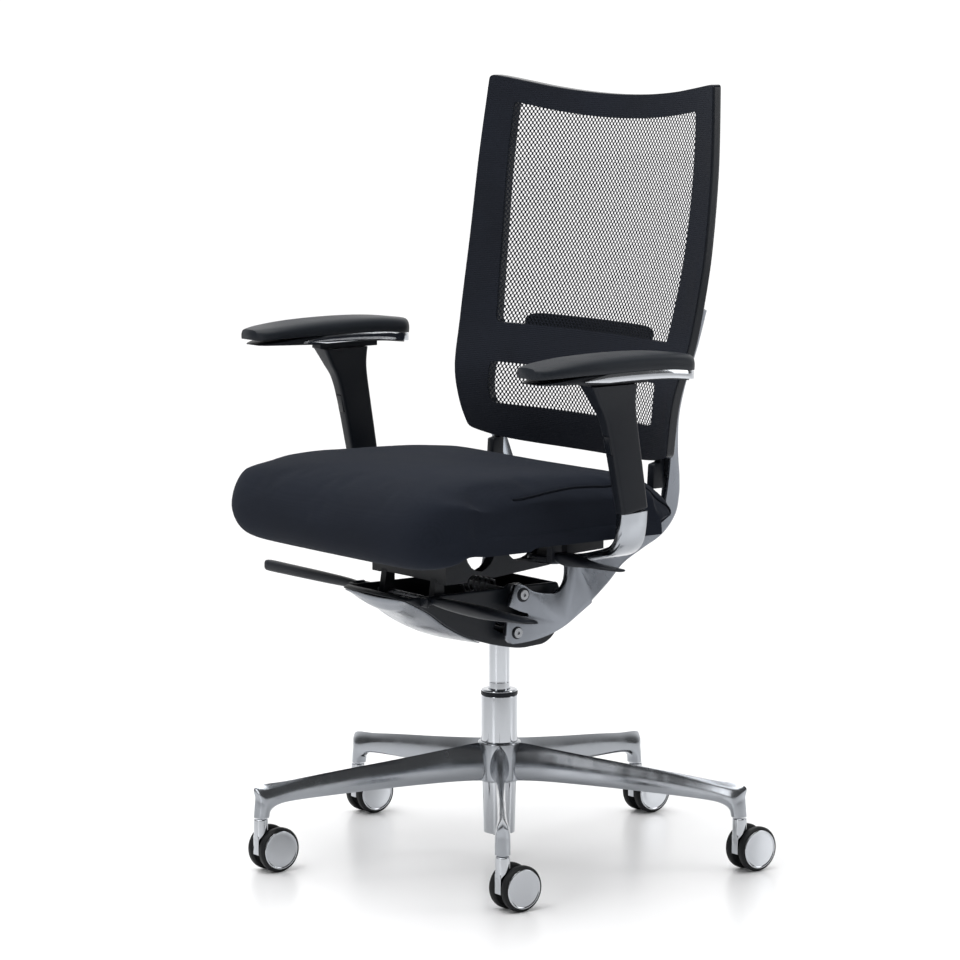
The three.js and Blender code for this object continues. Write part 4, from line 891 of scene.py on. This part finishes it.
def frame_solid(front, back, shrink=0.0, grow=0.0, recess=0.0):
    """Curved plate with the two windows, between two depths behind the front face."""
    rows = frame_rows()
    inner = [0, 24, 48, 72, 96, 120, RECESS, RECESS + 1.5]
    count = len(inner) + 4
    names = [-k for k in range(count, 0, -1)] + list(range(count + 1))

    def column(k, z):
        side, k = (-1, -k) if k < 0 else (1, k)
        edge = window_half(z) - grow
        if k < len(inner):
            return side * inner[k]
        outside = back_half(z) - shrink
        places = [edge - corner(z), edge, mix(edge, outside, 0.4), mix(edge, outside, 0.75), outside]
        return side * places[k - len(inner)]

    grid = {}
    points = []
    for r, (zone, share) in enumerate(rows):
        for k in names:
            z = row_height(zone, share, 0, 250)
            for _ in range(3):
                x = column(k, z)
                z = row_height(zone, share, x, back_half(z))
            edge_row = share == 0 and zone in ("lower", "band", "upper", "head")
            if edge_row:
                z += grow if zone in ("lower", "upper") else -grow
            if edge_row and abs(k) == len(inner) + 1:
                step = corner(z) * 0.16
                x -= math.copysign(step, x)
                z += step if zone in ("lower", "upper") else -step
            if (zone, share) == ("foot", 0):
                z += shrink
            if (zone, share) == ("head", 1):
                z -= shrink
            deep = recess if zone == "band" or (zone, share) == ("upper", 0) else 0.0
            deep = deep if abs(x) < RECESS + 0.1 else 0.0
            grid[r, k] = len(points)
            face = back_front(x, z)
            points.append((x, face + front + deep, z))
            points.append((x, face + back, z))
    faces = []
    used = {}
    for r in range(len(rows) - 1):
        for a, b in zip(names, names[1:]):
            zone = rows[r][0]
            if zone in ("lower", "upper") and max(abs(a), abs(b)) <= len(inner) + 1:
                continue
            loop = [grid[r, a], grid[r, b], grid[r + 1, b], grid[r + 1, a]]
            faces.append(loop)
            faces.append([i + 1 for i in reversed(loop)])
            for p, q in zip(loop, loop[1:] + loop[:1]):
                key = (min(p, q), max(p, q))
                used[key] = None if key in used else (p, q)
    for pair_of in used.values():
        if pair_of:
            p, q = pair_of
            faces.append([q, p, p + 1, q + 1])
    kept = sorted({i for face in faces for i in face})
    renamed = {old: new for new, old in enumerate(kept)}
    return raw([points[i] for i in kept], [[renamed[i] for i in face] for face in faces])


def subdivided(piece, levels, sharp=40):
    """Smooth subdivision that keeps the edges sharper than an angle."""
    edit = bmesh.new()
    edit.from_mesh(piece.data)
    crease = edit.edges.layers.float.new("crease_edge")
    for edge in edit.edges:
        hard = len(edge.link_faces) == 2 and edge.calc_face_angle(0) > math.radians(sharp)
        along_depth = abs((edge.verts[0].co - edge.verts[1].co).normalized().y) > 0.9
        edge[crease] = 1.0 if hard and not along_depth else 0.0
    edit.to_mesh(piece.data)
    edit.free()
    modify(piece, "SUBSURF", levels=levels)
    return applied(piece)


def frame_leg(side):
    """Short leg under the frame that meets the back arm."""
    rear = 135.5
    outline = [(128, 562), (128, 546), (117, 543), (115, 511), (rear - 1, 511), (rear + 1, 562)]
    return bevelled(sideways(outline, side * 178 - 7, side * 178 + 7), 1.6, angle=30)


def mesh_lattice():
    """Open knit of six-sided holes over both windows, following the bowed front of the frame."""
    pitch_x, pitch_z = 7.1, 3.85
    cell = [(0, 2.4), (3.55, 1.45), (3.55, -1.45), (0, -2.4), (-3.55, -1.45), (-3.55, 1.45)]
    hole = [(0, 2.05), (1.75, 1.25), (1.75, -1.25), (0, -2.05), (-1.75, -1.25), (-1.75, 1.25)]
    half_cache, side_cache = {}, {}

    def face_at(x, z):
        if z not in half_cache:
            half_cache[z], side_cache[z] = back_half(z), back_side(z)
        share = min(1.0, abs(x) / half_cache[z])
        return side_cache[z] + BACK_BOW * (1 - share * share)

    points, index, faces, used = [], {}, [], {}

    def vertex(x, z, depth):
        key = (round(x, 2), round(z, 2), depth)
        if key not in index:
            index[key] = len(points)
            points.append((x, face_at(x, key[1]) + depth, z))
        return index[key]

    def inside(x, z):
        margin = 4.5
        half, low, high = LOWER_WINDOW
        if low - margin < z < high + margin:
            return abs(x) < half + margin
        return UPPER_BOTTOM - margin < z < window_top(x) + margin and abs(x) < upper_half(z) + margin

    for row in range(int((UPPER_TOP - BACK_LOW) / pitch_z) + 1):
        z = BACK_LOW + row * pitch_z
        shift = pitch_x / 2 if row % 2 else 0.0
        for step in range(-31, 32):
            x = step * pitch_x + shift
            if not inside(x, z):
                continue
            ridge = [vertex(x + a, z + b, -1.35) for a, b in cell]
            rear = [vertex(x + a, z + b, -0.4) for a, b in cell]
            mouth = [vertex(x + a, z + b, -0.8) for a, b in hole]
            for k in range(6):
                n = (k + 1) % 6
                faces.append((ridge[k], mouth[k], mouth[n], ridge[n]))
                faces.append((mouth[k], rear[k], rear[n], mouth[n]))
                key = (min(ridge[k], ridge[n]), max(ridge[k], ridge[n]))
                used[key] = None if key in used else (ridge[k], ridge[n], rear[n], rear[k])
    faces += [quad for quad in used.values() if quad]
    return raw(points, faces)


def back():
    body = bevelled(subdivided(frame_solid(0, BACK_DEPTH, recess=8), 2), 1.8, angle=48)
    build("back_frame_moulding", body, GLOSS_BLACK, "back", "gloss_black", "back_frame", angle=50)
    for side, word in ((1, "left"), (-1, "right")):
        build(f"back_frame_leg_{word}", frame_leg(side), BLACK_METAL, "back", "black_metal")
    border = subdivided(frame_solid(-1.9, -0.3, shrink=0.7, grow=1.2), 2)
    build("back_border_knit", border, KNIT, "back", "mesh_fabric", "back_mesh", angle=70)
    net = mesh_lattice()
    build("back_mesh_knit", net, MESH_YARN, "back", "mesh_fabric", angle=80)
    rings = []
    for i in range(41):
        s = mix(-1, 1, i / 40)
        x = 139 * s
        ends = 6 * abs(s) ** 14
        low, high = 657 + ends, 721 - ends
        ring = []
        for u, depth in ((0, 2.8), (0.04, 2.0), (0.12, 1.6), (0.5, 1.6), (0.88, 1.6), (0.96, 2.0), (1, 2.8),
                         (1, 5.2), (0.96, 6.0), (0.88, 6.2), (0.5, 6.2), (0.12, 6.2), (0.04, 6.0),
                         (0, 5.2)):
            z = mix(low, high, u)
            ring.append(Vector((x, back_front(x, z) + depth, z)))
        rings.append(ring)
    pad = bevelled(loft(rings), 0.8, angle=60)
    build("lumbar_pad_moulding", pad, PAD_SKIN, "lumbar", "soft_pad", "lumbar_pad", angle=50)


# ---------------------------------------------------------------- seat cushion


CUSHION_HALF = cad("seat_cushion")[1].x


def pan_under(x):
    return 431.5 + max(0.0, abs(x) - 84) * 0.18


def cushion_ring(s, count=150):
    """Side outline of the cushion at a share of its half width, as points (x, y, z)."""
    side = abs(s)
    pull, squeeze = 50 * side ** 14 + 6 * side ** 2, 26 * side ** 10
    front, rear = -305 + pull, 136 - 0.95 * pull
    x = CUSHION_HALF * s
    top = 545 - squeeze - 3 * (1 - side * side)
    low = pan_under(x) + 10.4
    b, nose = low + 0.5 * squeeze, 428 + squeeze
    points = [(front, 474), (front + 5, 500), (front + 22, 524), (front + 58, top - 6),
              (front + 110, top + 1), (-60, top), (20, top - 4), (80, top - 12), (rear - 24, top - 26),
              (rear - 4, top - 44), (rear, top - 62), (rear - 6, low + 12 + 0.5 * squeeze),
              (rear - 20, b), (40, b), (-60, b), (-150, b), (-196, b), (-217, 452 + squeeze),
              (-224, nose + 12), (min(-238, front + 40), nose), (front + 20, nose + 6),
              (front + 6, nose + 22), (front, 474)]
    return [Vector((x, p.x, p.y)) for p in catmull([(y, z, 0) for y, z in points], count, even=True)[:-1]]


def settled(piece, voxel, inset, cap, pressure, held):
    """The piece remeshed and swollen by a cloth simulation; held(point) keeps a point where it is."""
    modify(piece, "REMESH", mode="VOXEL", voxel_size=voxel * MM)
    applied(piece)
    mesh = piece.data
    fixed = [held((v.co - AXIS) / MM) for v in mesh.vertices]
    normals = [v.normal.copy() for v in mesh.vertices]
    for vertex, normal, grip in zip(mesh.vertices, normals, fixed):
        vertex.co -= normal * inset * MM * (1 - grip)
    start = [v.co.copy() for v in mesh.vertices]
    group = piece.vertex_groups.new(name="held")
    for vertex, grip in zip(mesh.vertices, fixed):
        group.add([vertex.index], grip, "REPLACE")
    cloth = piece.modifiers.new("cloth", "CLOTH")
    cloth.settings.quality = 5
    cloth.settings.mass = 0.25
    cloth.settings.tension_stiffness = 24
    cloth.settings.compression_stiffness = 24
    cloth.settings.bending_stiffness = 6
    cloth.settings.use_pressure = True
    cloth.settings.uniform_pressure_force = pressure
    cloth.settings.effector_weights.gravity = 0
    cloth.settings.vertex_group_mass = "held"
    cloth.point_cache.frame_start = 1
    cloth.point_cache.frame_end = 20
    for number in range(1, 21):
        scene.frame_set(number)
    applied(piece)
    scene.frame_set(1)
    piece.vertex_groups.clear()
    for vertex, origin in zip(piece.data.vertices, start):
        step = vertex.co - origin
        if step.length > cap * MM:
            vertex.co = origin + step.normalized() * cap * MM
    modify(piece, "SMOOTH", factor=0.5, iterations=10)
    modify(piece, "SUBSURF", levels=1)
    return applied(piece)


def surface(piece):
    """Nearest point and normal on a piece's surface, in millimetres about the column axis."""
    tree = BVHTree.FromObject(piece, bpy.context.evaluated_depsgraph_get())

    def nearest(point):
        place, normal, _, _ = tree.find_nearest(Vector(point) * MM + AXIS)
        return (place - AXIS) / MM, normal

    return nearest


def groove(piece, path, depth, width):
    """Presses a line into a piece's surface along a path of points."""
    cells = {}
    size = width * 2.5
    for p in path:
        cells.setdefault(tuple(int(c // size) for c in p), []).append(p)
    normals = [v.normal.copy() for v in piece.data.vertices]
    for vertex, normal in zip(piece.data.vertices, normals):
        at = (vertex.co - AXIS) / MM
        key = tuple(int(c // size) for c in at)
        near = []
        for i in (-1, 0, 1):
            for j in (-1, 0, 1):
                for k in (-1, 0, 1):
                    near += cells.get((key[0] + i, key[1] + j, key[2] + k), [])
        if near:
            gap = min((at - p).length for p in near)
            vertex.co -= normal * depth * MM * math.exp(-(gap / width) ** 2)
    return piece


def tube(path, radius, around=8, loop=False):
    """A round cord along a path."""
    rings = []
    normal = None
    last = len(path) - 1
    for i, p in enumerate(path):
        before = path[i - 1] if i or loop else p
        after = path[(i + 1) % len(path)] if i < last or loop else p
        ahead = (after - before).normalized()
        if normal is None:
            normal = ahead.orthogonal().normalized()
        normal = (normal - ahead * normal.dot(ahead)).normalized()
        other = ahead.cross(normal)
        angles = [2 * math.pi * k / around for k in range(around)]
        rings.append([p + (normal * math.cos(a) + other * math.sin(a)) * radius for a in angles])
    return loft(rings, loop=loop)


def cushion():
    steps = 90
    shares = [math.sin(mix(-1, 1, i / steps) * math.pi / 2) for i in range(steps + 1)]
    body = loft([cushion_ring(s) for s in shares])

    def held(at):
        flat_under = at.z < pan_under(at.x) + 15 and at.y > -215
        return 1.0 if flat_under else 0.0

    settled(body, 5.0, 3.0, 5.0, 4.0, held)
    nearest = surface(body)
    seams = []
    for side in (-1, 1):
        high, low = cushion_ring(side * 0.905), cushion_ring(side * 0.955)
        blend = [a.lerp(b, max(0.0, min(1.0, (-50 - a.y) / 100))) for a, b in zip(high, low)]
        seams.append([p for p in blend if (p.y > -160 and p.z > 480) or p.y > 60])
    paths = []
    for seam in seams:
        on_skin = []
        for p in catmull(seam, len(seam) * 2, even=True):
            place, normal = nearest(p)
            on_skin.append((place, normal))
        paths.append(on_skin)
    for on_skin in paths:
        groove(body, [place for place, _ in on_skin], 1.3, 4.0)
    build("seat_cushion_cover", body, SEAT_CLOTH, "seat", "seat_fabric", "seat_cushion", angle=180)
    for on_skin, word in zip(paths, ("right", "left")):
        cord = tube([place - normal * 0.1 for place, normal in on_skin], 1.5)
        build(f"seat_piping_{word}", cord, PIPING_CLOTH, "seat", "seat_fabric", angle=180)


# ---------------------------------------------------------------- armrests


POST = Vector((300, -12, 505))
POST_TURN = Matrix.Rotation(math.radians(10.5), 3, "X")
PAD_X, PAD_Z, PAD_FRONT, PAD_REAR, PAD_HALF = 314.0, 688.0, -193.0, 58.0, 40.0
TRIM_FRONT = -128.0


def post_point(x, y, z):
    return POST + POST_TURN @ Vector((x, y, z))


def bracket():
    """Polished bar that runs out from the carrier and bends up to the post."""
    path = [(84.3, 4, 419, 5.5), (130, 4, 421, 5.5), (185, 3, 430, 5.5), (235, 0, 441, 5.5),
            (270, -4, 451, 6), (289, -8, 466, 6.5), (297, -11, 484, 7.5), (300, -12, 504.7, 8)]
    centres = catmull([p[:3] for p in path], 70, even=True)
    halves = catmull([(p[3], 0, 0) for p in path], 70)
    half_y = 21.0
    section = [(-1, 0.35), (-0.98, 0.7), (-0.93, 0.92), (-0.86, 1), (-0.3, 1.04), (0.3, 1.04), (0.86, 1),
               (0.93, 0.92), (0.98, 0.7), (1, 0.35)]
    section += [(a, -b) for a, b in reversed(section)]
    rings = []
    for i, (centre, half) in enumerate(zip(centres, halves)):
        ahead = (centres[min(i + 1, 70)] - centres[max(i - 1, 0)]).normalized()
        across = Vector((0, 1, 0))
        up = ahead.cross(across).normalized()
        across = up.cross(ahead).normalized()
        rings.append([centre + across * a * half_y + up * b * half.x for a, b in section])
    return bevelled(loft(rings), 0.6, angle=60)


def rounded_box(front, rear, half_x, radius, z):
    """Ring of a rounded rectangle at a height of the post, front and rear given as distances."""
    ring = []
    for sx, sy, start in ((1, 1, 0), (-1, 1, 90), (-1, -1, 180), (1, -1, 270)):
        reach_y = rear if sy > 0 else front
        ring += arc(sx * (half_x - radius), sy * (reach_y - radius), radius, start, start + 90, 6)
    return [post_point(x, y, z) for x, y in ring]


def sleeve():
    """Black outer sleeve of the post, flared under the pad, with a pocket for the button."""
    stations = [(0.6, 21, 21, 9.5), (40, 22, 22, 9.8), (95, 23.5, 23, 10.2), (130, 27, 24, 10.8),
                (152, 35, 27, 12.5), (182, 46, 34, 17)]
    smoothed = catmull([s[:3] for s in stations], 40, even=False)
    widths = catmull([(s[3], 0, 0) for s in stations], 40)
    rings = [rounded_box(p.y, p.z, w.x, 5, p.x) for p, w in zip(smoothed, widths)]
    body = bevelled(loft(rings), 1.4, angle=60)
    cut(body, box((200, -120, 670.4), (400, 120, 760)))
    hollow = [rounded_box(14.7, 14.7, 5.2, 2, z) for z in (-4, 146)]
    cut(body, loft(hollow))
    pocket = []
    for z in (80.0, 106.0):
        pocket.append([post_point(x, y, z) for x, y in ((-6.4, -30), (6.4, -30), (6.4, -13), (-6.4, -13))])
    cut(body, loft(pocket))
    return body


def button():
    ring = []
    for sx, sz, start in ((1, 1, 0), (-1, 1, 90), (-1, -1, 180), (1, -1, 270)):
        ring += arc(sx * 4, 93 + sz * 10.4, 2, start, start + 90, 5)
    rings = [[post_point(x, y, z) for x, z in ring] for y in (-20.2, -24.0)]
    return bevelled(loft(rings), 0.9, angle=50)


pad_width = along([(0, 0.5), (0.04, 0.72), (0.14, 0.9), (0.4, 1), (0.75, 1), (0.92, 0.94), (0.98, 0.78),
                   (1, 0.62)])
pad_arch = along([(0, -6), (0.12, -2), (0.3, 2), (0.55, 4), (0.8, 3), (1, -2)])


def pad_rings(section, low, high, shrink=0.0, rise=0.0, steps=70):
    """Rings of an armrest pad layer; section is (share of half width, share of height) points."""
    rings = []
    for i in range(steps + 1):
        eased = 0.5 - 0.5 * math.cos(math.pi * i / steps)
        base = low + rise * max(0.0, 1 - eased / 0.42) ** 1.4
        y = mix(PAD_FRONT + shrink, PAD_REAR - shrink, eased)
        width = PAD_HALF * pad_width(eased) - shrink
        lift = PAD_Z + pad_arch(eased)
        rings.append([Vector((PAD_X + a * width, y, lift + mix(base, high, b))) for a, b in section])
    return rings


def armrests():
    pair("arm_bracket_bar", bracket(), ALUMINIUM, "carrier", "polished_aluminium", "arm_bracket_")
    pair("arm_sleeve_shell", sleeve(), BLACK_PLASTIC, "arm_", "black_plastic", "arm_sleeve_", angle=40)
    pair("arm_button_cap", button(), GLOSS_BLACK, "button_", "gloss_black", "arm_button_")
    soft = [(-0.985, 0.1), (-1, 0.3), (-0.99, 0.5), (-0.94, 0.7), (-0.84, 0.86), (-0.68, 0.95),
            (-0.4, 0.99), (0, 1), (0.4, 0.99), (0.68, 0.95), (0.84, 0.86), (0.94, 0.7), (0.99, 0.5),
            (1, 0.3), (0.985, 0.1), (0.96, 0.0), (0, 0.0), (-0.96, 0.0)]
    for one in pair("arm_pad_skin", bevelled(loft(pad_rings(soft, 0, 20, rise=6)), 2.0, angle=60),
        PAD_SKIN, "pad_",
                    "soft_pad", "arm_pad_", angle=60):
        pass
    flat = [(-1, 0.15), (-1, 0.85), (-0.97, 1), (0.97, 1), (1, 0.85), (1, 0.15), (0.97, 0), (-0.97, 0)]
    tray = loft(pad_rings(flat, -13, -0.6, shrink=5, rise=11.6))
    join(tray, bevelled(box((289.5, -92, 671), (310.5, 4, 684)), 1))
    pair("arm_pad_tray", tray, BLACK_PLASTIC, "pad_", "black_plastic", "arm_pad_base_", angle=45)
    pair("arm_pad_strip", trim(), CHROME, "pad_", "chrome", "arm_pad_trim_", angle=45)


def trim():
    """Chrome strip round the sides and rear of the pad, its two front ends drawn to a point."""
    steps = 60
    path = []
    for i in range(steps + 1):
        path.append((-1, mix(TRIM_FRONT, PAD_REAR - 2, 1 - (1 - i / steps) ** 1.6)))
    path += [(1, y) for _, y in reversed(path)]
    rings = []
    for side, y in path:
        t = (y - PAD_FRONT) / (PAD_REAR - PAD_FRONT)
        width = PAD_HALF * pad_width(t)
        point = min(1.0, (y - TRIM_FRONT) / 42 + 0.12)
        lift = PAD_Z + pad_arch(t)
        middle, half = -5.9 - 0.6 * (1 - point), 5.3 * point
        outer, inner = width - 1.5, width - 4.2
        if y > PAD_REAR - 3:
            outer, inner = outer - 0.6, inner - 0.6
        profile = [(outer - 0.5, half), (outer, half * 0.55), (outer, -half * 0.55), (outer - 0.5, -half),
                   (inner, -half), (inner, half)]
        rings.append([Vector((PAD_X + side * a, y, lift + middle + b)) for a, b in profile])
    return loft(rings)


# ---------------------------------------------------------------- the whole chair


def kept(nodes, material):
    """A CAD node that stays in the picture gets a material of its own."""
    for node in nodes:
        for slot in bpy.data.objects[node].material_slots:
            slot.material = material


base_star()
castors()
column()
mechanism()
belly_tray()
levers()
back_arms()
back()
cushion()
armrests()
kept(["seat_carrier", "arm_post_left", "arm_post_right"], BLACK_METAL)
kept(["seat_pan"], BLACK_PLASTIC)
kept(["thrust_bearing", "retaining_clip", "piston_rod", "valve_button", "torsion_spring"], STEEL)
kept(["front_pin", "recline_shaft", "stop_rod"], STEEL)
kept([f"castor_{i}_axle" for i in range(1, 6)], STEEL)

# ---------------------------------------------------------------- camera, light and floor


def camera():
    lens = bpy.data.cameras.new("camera")
    lens.lens = 156.2
    lens.sensor_width = 36
    lens.clip_end = 50
    eye = bpy.data.objects.new("camera", lens)
    eye.location = (4.439, -3.336, 1.243)
    eye.rotation_euler = tuple(math.radians(a) for a in (82.49, 0, 53.51))
    scene.collection.objects.link(eye)
    scene.camera = eye


def soft_box(name, place, target, size, power):
    light = bpy.data.lights.new(name, "AREA")
    light.shape = "RECTANGLE"
    light.size, light.size_y = size
    light.energy = power
    lamp = bpy.data.objects.new(name, light)
    lamp.location = place
    lamp.rotation_euler = (Vector(target) - Vector(place)).to_track_quat("-Z", "Y").to_euler()
    scene.collection.objects.link(lamp)


def studio():
    world = bpy.data.worlds.new("studio")
    scene.world = world
    world.use_nodes = True
    tree = world.node_tree
    sky = tree.nodes["Background"]
    sky.inputs["Color"].default_value = (1, 1, 1, 1)
    place = tree.nodes.new("ShaderNodeTexCoord")
    facing = tree.nodes.new("ShaderNodeVectorMath")
    facing.operation = "DOT_PRODUCT"
    facing.inputs[1].default_value = (-0.8, 0.6, 0.0)
    tree.links.new(place.outputs["Generated"], facing.inputs[0])
    shade = tree.nodes.new("ShaderNodeMapRange")
    shade.interpolation_type = "SMOOTHSTEP"
    shade.inputs["From Min"].default_value = 0.25
    shade.inputs["From Max"].default_value = 0.8
    shade.inputs["To Min"].default_value = 0.11
    shade.inputs["To Max"].default_value = 1.1
    tree.links.new(facing.outputs["Value"], shade.inputs["Value"])
    tree.links.new(shade.outputs["Result"], sky.inputs["Strength"])
    soft_box("overhead", (0.4, -0.4, 3.2), (0, 0, 0.5), (2.6, 2.2), 30)
    soft_box("left_wall", (2.2, 2.4, 1.6), (0, 0, 0.6), (1.0, 2.2), 20)
    soft_box("right_wall", (1.0, -3.4, 1.5), (0, 0, 0.5), (0.9, 2.2), 16)
    sun = bpy.data.lights.new("ceiling", "SUN")
    sun.energy = 2.7
    sun.angle = math.radians(70)
    lamp = bpy.data.objects.new("ceiling", sun)
    lamp.rotation_euler = (math.radians(12), math.radians(-10), 0)
    scene.collection.objects.link(lamp)
    floor_mesh = bpy.data.meshes.new("floor")
    reach = 14
    floor_mesh.from_pydata([(-reach, -reach, 0), (reach, -reach, 0), (reach, reach, 0),
        (-reach, reach, 0)], [],
                           [(0, 1, 2, 3)])
    floor = bpy.data.objects.new("floor", floor_mesh)
    paint = material("white_floor", (0.92, 0.92, 0.925), 0.28)
    floor.data.materials.append(paint)
    scene.collection.objects.link(floor)
    scene.view_settings.view_transform = "Standard"


camera()
studio()
bpy.context.view_layer.update()
